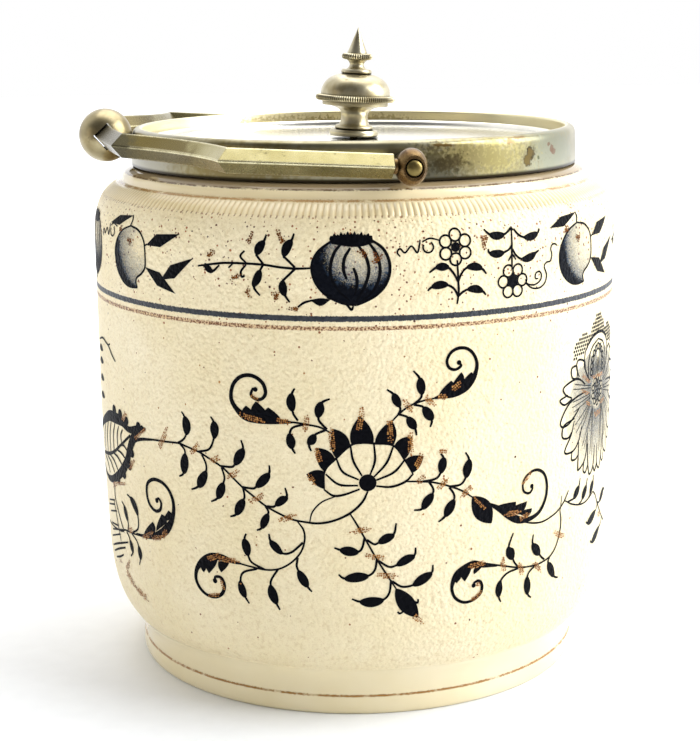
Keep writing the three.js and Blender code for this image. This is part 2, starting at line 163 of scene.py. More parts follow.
def colour(hex_code):
    """A hex sRGB colour as linear RGBA."""
    parts = np.array([int(hex_code[i:i + 2], 16) for i in (1, 3, 5)]) / 255
    linear = np.where(parts <= 0.04045, parts / 12.92, ((parts + 0.055) / 1.055) ** 2.4)
    return (*linear.tolist(), 1.0)


def new_material(name):
    """A new material, its node tree and its shader."""
    material = bpy.data.materials.new(name)
    material.use_nodes = True
    return material, material.node_tree, material.node_tree.nodes["Principled BSDF"]


def laid_over(tree, share, tint):
    """Lays a colour, as hex or from a node, over the shader's present base colour as far as share says."""
    shader = tree.nodes["Principled BSDF"]
    present = shader.inputs["Base Color"].links[0].from_socket
    tint = colour(tint) if isinstance(tint, str) else tint
    fill(tree, shader, {"Base Color": add(tree, "Mix", share, present, tint, data_type="RGBA")})


def per(size_mm):
    """The scale of a texture whose features are so many millimetres wide."""
    return 1 / (size_mm * MM)

# %% World
ROOM_TONE, WINDOW_TONE, BEHIND_GAIN, BACKDROP_TONE = 0.17, 1.12, 1.4, 1.0
world = bpy.data.worlds.new("studio")
bpy.context.scene.world = world
world.use_nodes = True
sky = world.node_tree
sky.nodes.clear()
toward_room = seen(-0.25, -0.96, 0.1).tolist()
facing = add(sky, "VectorMath", add(sky, "TexCoord").outputs["Generated"], toward_room,
             operation="DOT_PRODUCT")
room = add(sky, "MapRange", facing, -0.05, 0.6, WINDOW_TONE, ROOM_TONE, interpolation_type="SMOOTHSTEP")
behind = add(sky, "MapRange", facing, -0.5, -0.95, 1.0, BEHIND_GAIN)
whole = add(sky, "Math", room, behind, operation="MULTIPLY")
strength = add(sky, "Mix", add(sky, "LightPath").outputs["Is Camera Ray"], whole, BACKDROP_TONE)
add(sky, "OutputWorld", add(sky, "Background", (1, 1, 1, 1), strength))

# %% Floor
FLOOR_HALF = 3.0
floor_mesh = bpy.data.meshes.new("floor")
floor_corners = np.array([[-1, -1, 0], [1, -1, 0], [1, 1, 0], [-1, 1, 0]]) * FLOOR_HALF
floor_mesh.from_pydata(floor_corners.tolist(), [], [(0, 1, 2, 3)])
floor = placed("floor", floor_mesh)
card, card_tree, card_shader = new_material("white_card")
card_grain = add(card_tree, "TexNoise", sockets={"Scale": 900.0, "Detail": 3.0})
card_tone = add(card_tree, "Mix", card_grain, colour("#eff1f4"), colour("#f6f8fb"), data_type="RGBA")
card_reach = add(card_tree, "VectorMath", add(card_tree, "TexCoord").outputs["Object"], operation="LENGTH")
card_glow = add(card_tree, "MapRange", card_reach, 0.2, 0.75, 0, 0.5)
fill(card_tree, card_shader, {"Base Color": card_tone, "Roughness": 0.9, "Specular IOR Level": 0.1,
                              "Emission Color": (1, 1, 1, 1), "Emission Strength": card_glow})
floor_mesh.materials.append(card)

# %% Dark card behind the photographer
CARD_RADIUS, CARD_HEIGHT, CARD_COLUMNS = 640, 430, 49
card_angle = np.radians(np.linspace(-80, 66, CARD_COLUMNS))
card_foot = np.array([
    seen(CARD_RADIUS * math.sin(a), -CARD_RADIUS * math.cos(a), 0) for a in card_angle]) * MM
card_top = card_foot + np.array([0, 0, CARD_HEIGHT * MM])
flag_mesh = bpy.data.meshes.new("dark_card")
flag_mesh.from_pydata(np.vstack([card_foot, card_top]).tolist(), [],
                      [(i, i + 1, i + 1 + CARD_COLUMNS, i + CARD_COLUMNS) for i in range(CARD_COLUMNS - 1)])
flag_tone = np.interp(np.degrees(card_angle), [-80, -50, 30, 66], [1.0, ROOM_TONE, ROOM_TONE, 1.0])
flag_mesh.attributes.new("tone", "FLOAT", "POINT").data.foreach_set("value", np.tile(flag_tone, 2))
flag = placed("dark_card", flag_mesh)
flag_material, flag_tree, flag_shader = new_material("dark_room_card")
flag_glow = add(flag_tree, "Attribute", attribute_name="tone").outputs["Fac"]
fill(flag_tree, flag_shader, {"Base Color": (0, 0, 0, 1), "Emission Color": colour("#fff4e4"),
                              "Emission Strength": flag_glow})
flag_mesh.materials.append(flag_material)
flag.visible_camera = flag.visible_diffuse = flag.visible_shadow = False
flag.visible_transmission = flag.visible_volume_scatter = False

# %% [markdown]
# ## From numbers to a mesh
# Each new piece is a surface: a grid of points worked out from two parameters at once, as whole numpy
# arrays. A turned piece has the angle round its axis and the place along its outline. The helpers below
# join such grids into one mesh, close their seams and poles and turn their faces outwards.

# %% Mesh helpers
def new_mesh(name, points, *face_sets):
    """A mesh from points in millimetres and arrays of faces, each row the numbers of one face's corners."""
    mesh = bpy.data.meshes.new(name)
    mesh.vertices.add(len(points))
    mesh.vertices.foreach_set("co", (np.asarray(points) * MM).ravel())
    corners = np.concatenate([faces.ravel() for faces in face_sets])
    sizes = np.concatenate([np.full(len(faces), faces.shape[1]) for faces in face_sets])
    mesh.loops.add(len(corners))
    mesh.loops.foreach_set("vertex_index", corners)
    mesh.polygons.add(len(sizes))
    mesh.polygons.foreach_set("loop_start", np.cumsum(sizes) - sizes)
    mesh.update(calc_edges=True)
    return mesh


def grid_faces(rows, columns, wrap=False):
    """Quads between neighbours of a grid of points numbered row by row. With wrap, the last column joins
    the first."""
    number = np.arange(rows * columns).reshape(rows, columns)
    if wrap:
        number = np.column_stack([number, number[:, 0]])
    return np.stack([number[:-1, :-1], number[:-1, 1:], number[1:, 1:], number[1:, :-1]], -1).reshape(-1, 4)


SMOOTH_ANGLE = math.radians(32)
MERGE = 2e-7


def closed(mesh):
    """Merges doubled points at seams and poles, and turns all faces outwards."""
    work = bmesh.new()
    work.from_mesh(mesh)
    bmesh.ops.remove_doubles(work, verts=work.verts, dist=MERGE)
    bmesh.ops.recalc_face_normals(work, faces=work.faces)
    work.to_mesh(mesh)
    work.free()
    return mesh


def piece(mesh, material, body, slot, *nodes):
    """Puts a mesh in the scene as a named piece of a body, in place of the frame's nodes."""
    mesh.shade_smooth()
    mesh.set_sharp_from_angle(angle=SMOOTH_ANGLE)
    mesh.materials.append(material)
    made = placed(mesh.name, mesh)
    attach(made, body)
    if nodes:
        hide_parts(*nodes)
    return made


def solid(name, shape, material, body, slot, *nodes):
    """A closed piece from its points and arrays of faces."""
    return piece(closed(new_mesh(name, *shape)), material, body, slot, *nodes)


def refinish(node, material):
    """Gives a piece that keeps its constructed mesh a material."""
    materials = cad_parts[node].data.materials
    materials.clear()
    materials.append(material)

# %% Outline and placing helpers
def bezier(start, pull, end, steps):
    """Points of a curve with one control point."""
    t = np.linspace(0, 1, steps + 1)[:, None]
    return (1 - t) ** 2 * np.array(start) + 2 * t * (1 - t) * np.array(pull) + t ** 2 * np.array(end)


def curve(start, end, form, steps):
    """Points of a Bezier curve without its first point. Each pair in form is a control point, as shares of
    the way from start to end in radius and in height."""
    start, end = np.array(start, float), np.array(end, float)
    pulls = [start + (end - start) * np.array(share) for share in form]
    if len(pulls) == 1:
        return bezier(start, pulls[0], end, steps)[1:]
    t = np.linspace(0, 1, steps + 1)[1:, None]
    ends = (1 - t) ** 3 * start + t ** 3 * end
    return ends + 3 * t * (1 - t) ** 2 * pulls[0] + 3 * t ** 2 * (1 - t) * pulls[1]


def moulding(start, end, crest, steps):
    """Points of a swelling or hollow that reaches the radius crest half way between two points."""
    pull = [2 * crest - (start[0] + end[0]) / 2, (start[1] + end[1]) / 2]
    return bezier(start, pull, end, steps)[1:]


def outline(*parts):
    """Joins single points and runs of points into one outline."""
    return np.vstack([np.atleast_2d(np.asarray(part, float)) for part in parts])


OUTWARD = [(1, 0)]
UPWARD = [(0, 1)]


def turn(axis, angle):
    """A rotation matrix about x, y or z."""
    c, s = math.cos(angle), math.sin(angle)
    i, j = {"x": (1, 2), "y": (2, 0), "z": (0, 1)}[axis]
    matrix = np.eye(3)
    matrix[i, i], matrix[i, j], matrix[j, i], matrix[j, j] = c, -s, s, c
    return matrix


def turned(profile, columns, rotation=np.eye(3), move=(0, 0, 0), wave=None):
    """Points and faces of a solid of revolution: the outline's point (r, h) at the angle a lies at
    (r cos a, r sin a, h), then it is rotated and moved. wave(r, h, a) may change the radius."""
    angle = np.arange(columns) * 2 * math.pi / columns
    radius, height = profile[:, :1], profile[:, 1:]
    if wave is not None:
        radius = wave(radius, height, angle)
    points = np.stack([radius * np.cos(angle), radius * np.sin(angle), height + 0 * angle], -1).reshape(-1, 3)
    return points @ rotation.T + np.array(move), grid_faces(len(profile), columns, wrap=True)

# %% [markdown]
# ## Jar: glazed stoneware
# Stoneware is thrown or moulded, fired hard and glazed. Here the body has a dry, pitted glaze like orange
# peel, warm cream with brown specks where iron in the clay came through, while the neck and foot are smooth
# and wet looking. One material does both: the height in object coordinates says which finish a point has.

# %% Sizes of the jar
JAR_RADIUS, LOW_SIDE_RADIUS, COVE_TOP_RADIUS = 72.1, 71.0, 65.0
FOOT_WAIST_RADIUS, FOOT_RING_RADIUS, FOOT_EDGE, FOOT_RING_WIDTH = 61.9, 62.3, 1.2, 5.4
FOOT_RING_HEIGHT, COVE_TOP, SIDE_START = 5.4, 13.5, 36.0
SIDE_END, SHOULDER_TOP, JAR_HEIGHT = 118.0, 134.5, 138.0
SHOULDER_TOP_RADIUS, NECK_RADIUS = 64.3, 61.0
FOOT_RECESS, FLOOR_LEVEL, SIDE_WALL, SHOULDER_WALL, FLOOR_CORNER = 3.0, 8.5, 6.0, 5.0, 13.0
SOCKET_RADIUS, MOUTH_RADIUS, JAR_RIM, RIM_ROUND = 57.6, 53.6, 141.8, 1.0
REED_COUNT, REED_DEPTH, REED_LOW, REED_HIGH = 272, 0.42, 130.7, 133.9

# %% Glaze
GLAZE_PEEL_MM, GLAZE_GRAIN_MM, PIT_MM, CLOUD_MM = 0.9, 0.32, 1.3, 22
SPECK_CELL_MM, SPECK_CLUSTER_MM, SPECKS_FROM, SPECKS_FULL = 0.95, 5.0, 100, 122
NAVY_LOW, NAVY_HIGH, DOTTED_LOW, DOTTED_HIGH = 105.8, 107.2, 103.6, 104.6
GILT_LOW, GILT_HIGH, FOOT_GILT_LOW, FOOT_GILT_HIGH = 134.0, 134.45, 4.9, 5.4
# Heights of the painted shade on the neck under the collar
NECK_SHADE_LOW, NECK_SHADE_HIGH = 136.8, 139.5


def between(tree, value, low, high, soft):
    """1 where a value in metres lies between two limits in millimetres and 0 elsewhere, with soft edges."""
    rise = add(tree, "MapRange", value, low * MM - soft * MM, low * MM + soft * MM)
    fall = add(tree, "MapRange", value, high * MM + soft * MM, high * MM - soft * MM)
    return add(tree, "Math", rise, fall, operation="MULTIPLY")


def axis_places(tree):
    """A point's place, its coordinates one by one, and its distance from the jar's axis."""
    place = add(tree, "TexCoord").outputs["Object"]
    spot = add(tree, "SeparateXYZ", place)
    flat = add(tree, "CombineXYZ", spot.outputs["X"], spot.outputs["Y"])
    return place, spot, add(tree, "VectorMath", flat, operation="LENGTH")


def glazed(name):
    """The pitted cream glaze as a new material, its node tree and its shader."""
    material, g, shader = new_material(name)
    place = add(g, "TexCoord").outputs["Object"]
    height = add(g, "SeparateXYZ", place).outputs["Z"]
    dry = between(g, height, COVE_TOP, REED_LOW + 0.3, 0.3)
    cloud = add(g, "TexNoise", place, per(CLOUD_MM), 3.0)
    cream = add(g, "Mix", cloud, colour("#e5d3a2"), colour("#f4e8ca"), data_type="RGBA")
    fill(g, shader, {"Base Color": cream, "IOR": 1.5})
    # Pits hold a little brown
    grain = add(g, "TexNoise", place, per(GLAZE_GRAIN_MM), 2.0)
    pits = add(g, "MapRange", grain, 0.52, 0.72, 0, 0.4)
    hollow = add(g, "TexNoise", place, per(PIT_MM), 4.0, 0.6)
    stain = add(g, "MapRange", hollow, 0.52, 0.72, 0, 0.42)
    both = add(g, "Math", pits, stain, operation="ADD")
    laid_over(g, add(g, "Math", both, dry, operation="MULTIPLY"), "#c8ae7a")
    # Each cell of a Voronoi pattern holds a speck by chance, more of them near the reeds and in clusters
    cell = add(g, "TexVoronoi", place, per(SPECK_CELL_MM))
    chance = add(g, "SeparateColor", cell.outputs["Color"])
    cluster = add(g, "TexNoise", place, per(SPECK_CLUSTER_MM), 2.0)
    crowd = add(g, "MapRange", cluster, 0.44, 0.6, 0.25, 2.0)
    near_reeds = add(g, "MapRange", height, SPECKS_FROM * MM, SPECKS_FULL * MM, 0.01, 0.36)
    share = add(g, "Math", near_reeds, crowd, operation="MULTIPLY")
    chosen = add(g, "Math", chance, share, operation="LESS_THAN")
    size = add(g, "MapRange", chance.outputs["Green"], 0, 1, 0.17, 0.36)
    inside = add(g, "Math", cell, size, operation="LESS_THAN")
    speck = add(g, "Math", chosen, inside, operation="MULTIPLY")
    iron = add(g, "Mix", chance.outputs["Blue"], colour("#4a220c"), colour("#a0602c"), data_type="RGBA")
    laid_over(g, add(g, "Math", speck, dry, operation="MULTIPLY"), iron)
    # The orange-peel surface
    peel = add(g, "TexVoronoi", place, per(GLAZE_PEEL_MM), feature="SMOOTH_F1")
    uneven = add(g, "Math", peel, hollow, operation="SUBTRACT")
    relief = add(g, "Math", uneven, dry, operation="MULTIPLY")
    fill(g, shader, {"Roughness": add(g, "MapRange", dry, 0, 1, 0.07, 0.46),
                     "Normal": add(g, "Bump", 0.8, 0.4 * MM, sockets={"Height": relief})})
    return material, g, shader

# %% [markdown]
# The jar's own glaze carries what runs all the way round: a navy line, a dotted brown line under it, a line
# of worn gilt and painted shadow at the neck, a worn gilt line at the foot, painted shade in the grooves
# between the ribs of the shoulder, and a band of painted shade just under the collar. Each is a band of
# height, and a little noise added to the height makes its edges uneven, as a brush does.

# %% Lines round the jar
jar_glaze, g, _ = glazed("pitted_stoneware_glaze")
place, spot, from_axis = axis_places(g)
outside = add(g, "MapRange", from_axis, (MOUTH_RADIUS + 5) * MM, (MOUTH_RADIUS + 6) * MM)
on_side = add(g, "MapRange", from_axis, (JAR_RADIUS - 4) * MM, (JAR_RADIUS - 3) * MM)
brush = add(g, "TexNoise", place, per(0.35), 3.0)
sway = add(g, "MapRange", brush, 0, 1, -0.35 * MM, 0.35 * MM)
even = spot.outputs["Z"]
uneven = add(g, "Math", even, sway, operation="ADD")
navy = add(g, "Mix", brush, colour("#080b11"), colour("#27303b"), data_type="RGBA")
gilt = add(g, "Mix", brush, colour("#6e4420"), colour("#c0904e"), data_type="RGBA")
dots = add(g, "MapRange", add(g, "TexVoronoi", place, per(0.5)), 0.65, 0.4)
way_round = add(g, "Math", spot.outputs["Y"], spot.outputs["X"], operation="ARCTAN2")
rib_phase = add(g, "Math", way_round, REED_COUNT / 2, operation="MULTIPLY")
rib = add(g, "Math", add(g, "Math", rib_phase, operation="COSINE"), operation="ABSOLUTE")
groove_shade = add(g, "MapRange", rib, 0.75, 0.05, 0, 0.5)
rubbed = add(g, "TexNoise", place, per(3.5), 6.0, 0.7)
left_on = add(g, "MapRange", rubbed, 0.36, 0.5)
rib_tip = add(g, "Math", add(g, "MapRange", rib, 0.5, 0.3, 0, 0.85), left_on, operation="MULTIPLY")
for height, low, high, soft, part, share, tint in (
        (uneven, NAVY_LOW, NAVY_HIGH, 0.05, on_side, 1.0, navy),
        (uneven, DOTTED_LOW, DOTTED_HIGH, 0.1, on_side, 0.55, "#c2905a"),
        (uneven, DOTTED_LOW, DOTTED_HIGH, 0.1, on_side, dots, "#6e4019"),
        # painted shade in the grooves between the ribs
        (even, REED_LOW + 0.3, REED_HIGH, 0.2, outside, groove_shade, "#c2a068"),
        (uneven, REED_LOW - 0.1, REED_LOW + 0.4, 0.1, outside, rib_tip, "#6b3d18"),
        # worn gilt and a painted shadow line where the shoulder meets the neck
        (uneven, GILT_LOW, GILT_HIGH, 0.08, outside, left_on, gilt),
        (uneven, FOOT_GILT_LOW, FOOT_GILT_HIGH, 0.08, outside, left_on, gilt),
        (uneven, REED_LOW - 1, JAR_HEIGHT + 1, 1.5, outside, 0.2, "#dcc28c"),
        # painted shade on the neck under the collar, and a darker painted shadow line at its lower edge
        (uneven, NECK_SHADE_LOW, NECK_SHADE_HIGH, 0.15, outside, 0.8, "#7d6540"),
        (uneven, NECK_SHADE_LOW - 0.25, NECK_SHADE_LOW + 0.1, 0.1, outside, left_on, "#5a4022")):
    band = add(g, "Math", between(g, height, low, high, soft), part, operation="MULTIPLY")
    laid_over(g, add(g, "Math", band, share, operation="MULTIPLY"), tint)
print("glaze nodes:", len(g.nodes))

# %% [markdown]
# The jar is a turned shape, but its shoulder is reeded: 272 fine ribs run up it. The ribs need many columns
# and the plain side few, so the shoulder is a fine grid, and a fan of triangles joins each of its edges to
# the coarse grids above and below.

# %% Jar outline
foot_low = [FOOT_RING_RADIUS - FOOT_EDGE, 0]
ring_inner = [foot_low[0] - FOOT_RING_WIDTH, 0]
foot_crest = [FOOT_RING_RADIUS, FOOT_RING_HEIGHT / 2]
foot_waist = [FOOT_WAIST_RADIUS, FOOT_RING_HEIGHT]
cove_end = [COVE_TOP_RADIUS, COVE_TOP]
low_side = [LOW_SIDE_RADIUS, SIDE_START]
middle = [JAR_RADIUS, (SIDE_START + SIDE_END) / 2]
high_side = [JAR_RADIUS, SIDE_END]
shoulder_end = [SHOULDER_TOP_RADIUS, SHOULDER_TOP]
neck_end = [NECK_RADIUS, JAR_HEIGHT]
COVE_FORM, TURN_UNDER_FORM, SIDE_FORM = [(0.2, 0.67)], [(0.6, 0.2), (0.95, 0.45)], [(1, 0.55)]
SHOULDER_FORM, NECK_FORM = [(0, 0.58), (0.2, 0.86)], [(0.06, 0.75)]
INNER_SHOULDER_FORM = [(0.84, 0.08), (1, 0.37)]
jar_outer = outline(
    foot_low, curve(foot_low, foot_crest, OUTWARD, 5), curve(foot_crest, foot_waist, UPWARD, 5),
    curve(foot_waist, cove_end, COVE_FORM, 8), curve(cove_end, low_side, TURN_UNDER_FORM, 14),
    curve(low_side, middle, SIDE_FORM, 8), high_side, curve(high_side, shoulder_end, SHOULDER_FORM, 40),
    curve(shoulder_end, neck_end, NECK_FORM, 7))


def jar_radius(z):
    """The radius of the jar's outside at a height, read from its outline."""
    return np.interp(z, jar_outer[:, 1], jar_outer[:, 0])

# %% Jar mesh
REED_COLUMNS_EACH = 8
inner_neck = [MOUTH_RADIUS + SHOULDER_WALL, SHOULDER_TOP - SHOULDER_WALL]
inner_high = [JAR_RADIUS - SIDE_WALL, SIDE_END - SHOULDER_WALL]
inner_low = [LOW_SIDE_RADIUS - SIDE_WALL, SIDE_START]
rim_outer = [SOCKET_RADIUS, JAR_RIM - RIM_ROUND]
rim_inner = [MOUTH_RADIUS + RIM_ROUND, JAR_RIM]
mouth_end = [MOUTH_RADIUS, SHOULDER_TOP]
below_reeds = jar_outer[jar_outer[:, 1] < REED_LOW]
above_reeds = jar_outer[jar_outer[:, 1] > REED_HIGH]
low_rows = outline([0, FOOT_RECESS], [ring_inner[0] - FOOT_RECESS, FOOT_RECESS], ring_inner, below_reeds)
high_rows = outline(above_reeds, [SOCKET_RADIUS, JAR_HEIGHT], rim_outer,
                    curve(rim_outer, [SOCKET_RADIUS - RIM_ROUND, JAR_RIM], UPWARD, 4), rim_inner,
                    curve(rim_inner, [MOUTH_RADIUS, JAR_RIM - RIM_ROUND], OUTWARD, 4), mouth_end,
                    curve(mouth_end, inner_neck, UPWARD, 5),
                    curve(inner_neck, inner_high, INNER_SHOULDER_FORM, 10), inner_low,
                    curve(inner_low, [inner_low[0] - FLOOR_CORNER, FLOOR_LEVEL], UPWARD, 10),
                    [0, FLOOR_LEVEL])
reed_height = np.linspace(REED_LOW, REED_HIGH, 16)
reed_rows = np.column_stack([jar_radius(reed_height), reed_height])


def reeded(radius, height, angle):
    """Ribs round the shoulder: the radius swells by a half cosine between narrow grooves, and the ribs
    fade in over the first 0.4 mm at each end."""
    rib = np.abs(np.cos(REED_COUNT * angle / 2))
    fade = np.clip((height - REED_LOW) / 0.4, 0, 1) * np.clip((REED_HIGH - height) / 0.4, 0, 1)
    return radius - REED_DEPTH * fade * (1 - rib)


def fan_faces(coarse_first, coarse_count, fine_first, each):
    """Triangles that join a ring of coarse points to a ring with each times as many fine points."""
    i = np.arange(coarse_count)[:, None]
    k = np.arange(each)[None, :]
    fine_count = coarse_count * each
    near = np.where(k < each / 2, i, (i + 1) % coarse_count) + coarse_first
    strip = np.stack([near, fine_first + (each * i + k + 1) % fine_count, fine_first + each * i + k], -1)
    half = each // 2
    gap = np.stack([i[:, 0], (i[:, 0] + 1) % coarse_count,
                    fine_first - coarse_first + each * i[:, 0] + half], -1)
    return np.concatenate([strip.reshape(-1, 3), gap + coarse_first])


low_points, low_faces = turned(low_rows, REED_COUNT)
reed_points, reed_faces = turned(reed_rows, REED_COUNT * REED_COLUMNS_EACH, wave=reeded)
high_points, high_faces = turned(high_rows, REED_COUNT)
reed_first = len(low_points)
high_first = reed_first + len(reed_points)
reed_last_row = high_first - REED_COUNT * REED_COLUMNS_EACH
jar_shape = (np.vstack([low_points, reed_points, high_points]), low_faces, reed_faces + reed_first,
             high_faces + high_first,
             fan_faces(reed_first - REED_COUNT, REED_COUNT, reed_first, REED_COLUMNS_EACH),
             fan_faces(high_first, REED_COUNT, reed_last_row, REED_COLUMNS_EACH))
jar = solid("glazed_jar", jar_shape, jar_glaze, "barrel", "glazed_stoneware", "barrel_body")
print("jar triangles:", sum(len(face.vertices) - 2 for face in jar.data.polygons))

# %% [markdown]
# ## Print: blue-black transfer and gold touches
# The pattern was engraved, printed on thin paper and laid on the jar in strips, and gold was dabbed over it
# by hand. Here each mark is a thin sheet a few hundredths of a millimetre above the glaze. The marks are
# drawn on the unrolled side: s runs round the jar in millimetres, to the right from the point that faces
# the camera, and z is the height. The sheets are then wrapped round the jar. Each point carries a tone,
# which grows from the mark's edge inwards, so the material can leave the small gaps that a print has.

# %% Ribbons
EDGE_TONE = 0.8
TONE_SLOPE = 2.5
CURVE_STEPS = 8


def smooth_line(points, steps=CURVE_STEPS):
    """A smooth curve through points: on each span a cubic, whose slope at a point is half the way between
    the point's neighbours."""
    p = np.asarray(points, float)
    p = np.vstack([2 * p[0] - p[1], p, 2 * p[-1] - p[-2]])
    t = (np.arange(steps) / steps)[None, :, None]
    a, b, c, d = p[:-3, None], p[1:-2, None], p[2:-1, None], p[3:, None]
    line = b + ((c - a) * t + (2 * a - 5 * b + 4 * c - d) * t ** 2 + (3 * b - a - 3 * c + d) * t ** 3) / 2
    return np.vstack([line.reshape(-1, p.shape[1]), p[-2]])


def ribbon(line, half):
    """A sheet along a line of [s, z] that reaches half a width to each side. Its tone is EDGE_TONE plus
    TONE_SLOPE times the distance inside the edge."""
    along = np.gradient(line, axis=0)
    along /= np.linalg.norm(along, axis=1)[:, None] + 1e-9
    normal = np.stack([-along[:, 1], along[:, 0]], -1)
    columns = 3 if half.max() < 1.3 else 7
    reach = half[:, None] * np.linspace(-1, 1, columns)
    points = line[:, None, :] + reach[..., None] * normal[:, None, :]
    tone = EDGE_TONE + TONE_SLOPE * (half[:, None] - np.abs(reach))
    return np.concatenate([points, tone[..., None]], -1).reshape(-1, 3), grid_faces(len(line), columns)

# %% Marks
STEM = 0.6


def stroke(*points, width=STEM):
    """A line of ink through points of [s, z], or of [s, z, width] where its width changes."""
    p = np.array(points, float)
    if p.shape[1] == 2:
        taper = np.full(len(p), width)
        taper[[0, -1]] *= 0.75
        p = np.column_stack([p, taper])
    line = smooth_line(p)
    return ribbon(line[:, :2], np.maximum(line[:, 2], 0.08) / 2)


def leaf(width, *points):
    """A leaf on its stem. The last point is the leaf's hooked tip, the three before it are the blade's
    base, middle and end, and any before these the stem. The blade is as wide as a half wave."""
    line = smooth_line(points)
    first = (len(points) - 4) * CURVE_STEPS
    half = np.full(len(line), STEM / 2)
    blade = np.sin(math.pi * np.linspace(0, 1, 2 * CURVE_STEPS + 1)) ** 0.75
    half[first:first + len(blade)] += (width + 0.15 - STEM) / 2 * blade
    half[first + len(blade):] *= np.linspace(1.1, 0.75, CURVE_STEPS)
    return ribbon(line, half)


def lens(width, base, middle, end, power=0.75):
    """A blade without a stem, pointed at both ends."""
    line = smooth_line([base, middle, end])
    half = width / 2 * np.sin(math.pi * np.linspace(0, 1, len(line))) ** power
    return ribbon(line, np.maximum(half, 0.05))


def arc(s, z, radius, width, start=0, end=360):
    """A ring or a part of one, between two angles in degrees."""
    angle = np.radians(np.linspace(start, end, 25))
    line = np.stack([s + radius * np.cos(angle), z + radius * np.sin(angle)], -1)
    return ribbon(line, np.full(len(line), width / 2))


def dot(s, z, radius):
    """A filled disc: an upright ribbon whose width is that of a circle."""
    angle = np.linspace(0, math.pi, 9)
    line = np.stack([s + 0 * angle, z - radius * np.cos(angle)], -1)
    return ribbon(line, np.maximum(radius * np.sin(angle), 0.05))


def filled(left, right):
    """The inked space between two lines of [s, z] with as many points each."""
    half = (right - left)[:, None, :] / 2
    share = np.linspace(-1, 1, 5)[None, :, None]
    points = (left + right)[:, None, :] / 2 + half * share
    tone = EDGE_TONE + TONE_SLOPE * np.linalg.norm(half, axis=2, keepdims=True) * (1 - np.abs(share))
    return np.concatenate([points, tone], -1).reshape(-1, 3), grid_faces(len(left), 5)


def between_lines(left, right, steps):
    """The inked space between two smooth curves."""
    return filled(smooth_line(left, steps), smooth_line(right, steps))


def flame(swell, left, tip, right):
    """A pointed petal or lobe from its two feet to its tip. Its width at the share t of the way up is the
    feet's distance times (1 - t) (1 + swell t)."""
    left, tip, right = np.array([left, tip, right], float)
    t = np.linspace(0, 1, 11)[:, None]
    half = (left - right) / 2 * np.maximum((1 - t) * (1 + swell * t), 0.02)
    middle = (left + right) / 2 * (1 - t) + tip * t
    return filled(middle + half, middle - half)


def kite(base, upper, tip, under):
    """A rhomb-shaped leaf: straight sides from its base over two corners to its tip."""
    run = np.linspace(0, 2, 11)
    return filled(*[np.stack([np.interp(run, [0, 1, 2], [base[i], corner[i], tip[i]]) for i in (0, 1)], -1)
                    for corner in (upper, under)])


def moved(marks, ds):
    """The same marks further round the jar."""
    return [(points + np.array([ds, 0, 0]), faces) for points, faces in marks]


def mirrored(marks, s):
    """The marks and their mirror images about the upright line at s."""
    flip, shift = np.array([-1, 1, 1]), np.array([2 * s, 0, 0])
    return marks + [(points * flip + shift, faces) for points, faces in marks]

# %% Wrapping the marks round the jar
WASH_LIFT, INK_LIFT, GOLD_LIFT = 0.02, 0.06, 0.1
SHEET_STEP, SHEET_LEVELS = 0.004, 9


def printed(name, marks, material, lift=INK_LIFT):
    """Joins marks to one piece on the jar. Point (s, z) lies at the angle s / R round the jar, a little
    outside its wall, and each mark has its own of a few levels, so that no two lie in one surface."""
    sizes = [len(points) for points, _ in marks]
    first = np.cumsum([0] + sizes[:-1])
    points = np.concatenate([points for points, _ in marks])
    faces = np.concatenate([faces + start for (_, faces), start in zip(marks, first)])
    level = np.repeat(np.arange(len(marks)) % SHEET_LEVELS, sizes)
    s, z, tone = points.T
    corner = points[faces][..., :2]
    area = np.cross(corner[:, 2] - corner[:, 0], corner[:, 3] - corner[:, 1])
    faces = np.where((area < 0)[:, None], faces[:, ::-1], faces)[np.abs(area) > 1e-4]
    angle = s / JAR_RADIUS + VIEW_TURN
    radius = jar_radius(z) + lift + SHEET_STEP * level
    mesh = new_mesh(name, np.stack([radius * np.sin(angle), -radius * np.cos(angle), z], -1), faces)
    mesh.attributes.new("tone", "FLOAT", "POINT").data.foreach_set("value", tone)
    piece(mesh, material, "barrel", "glazed_stoneware")
    print(name, len(marks), "marks,", len(faces) * 2, "triangles")

# %% [markdown]
# The ink and the gold are the glaze itself with colour laid over it where the tone is high. Noise is added
# to the tone first, which leaves small gaps. Gold was dabbed on thinly and has worn to grains, so it is
# drawn as many small flecks. Shading was engraved as fine dots and lines that run together to the eye, so
# its cover follows the tone softly. Ink under a glaze hardly shines, which keeps it dark.

# %% Ink, shading and gold
def painted(name, thin, full, grain_mm, ragged, rough, soft=0.08, metallic=0.0, shine=0.05):
    """The glaze with colour over it, from the hex colour thin at a low tone to full at a high one. ragged is
    how far noise moves the tone, and soft how far from a half the cover's two ends lie."""
    material, tree, shader = glazed(name)
    at = add(tree, "TexCoord").outputs["Object"]
    tone = add(tree, "Attribute", attribute_name="tone").outputs["Fac"]
    capped = add(tree, "Math", tone, 1.2, operation="MINIMUM")
    shift = add(tree, "MapRange", add(tree, "TexNoise", at, per(grain_mm), 3.0), 0.3, 0.7, -ragged, ragged)
    density = add(tree, "Math", capped, shift, operation="ADD")
    cover = add(tree, "MapRange", density, 0.5 - soft, 0.5 + soft)
    depth = add(tree, "MapRange", add(tree, "TexNoise", at, per(1.2), 4.0), 0.35, 0.65, -0.2, 0.1)
    deep = add(tree, "Math", capped, depth, operation="ADD", use_clamp=True)
    laid_over(tree, cover, add(tree, "Mix", deep, colour(thin), colour(full), data_type="RGBA"))
    smooth = shader.inputs["Roughness"].links[0].from_socket
    fill(tree, shader, {"Roughness": add(tree, "Mix", cover, smooth, rough), "Specular IOR Level": shine,
                        "Metallic": add(tree, "Math", cover, metallic, operation="MULTIPLY")})
    return material


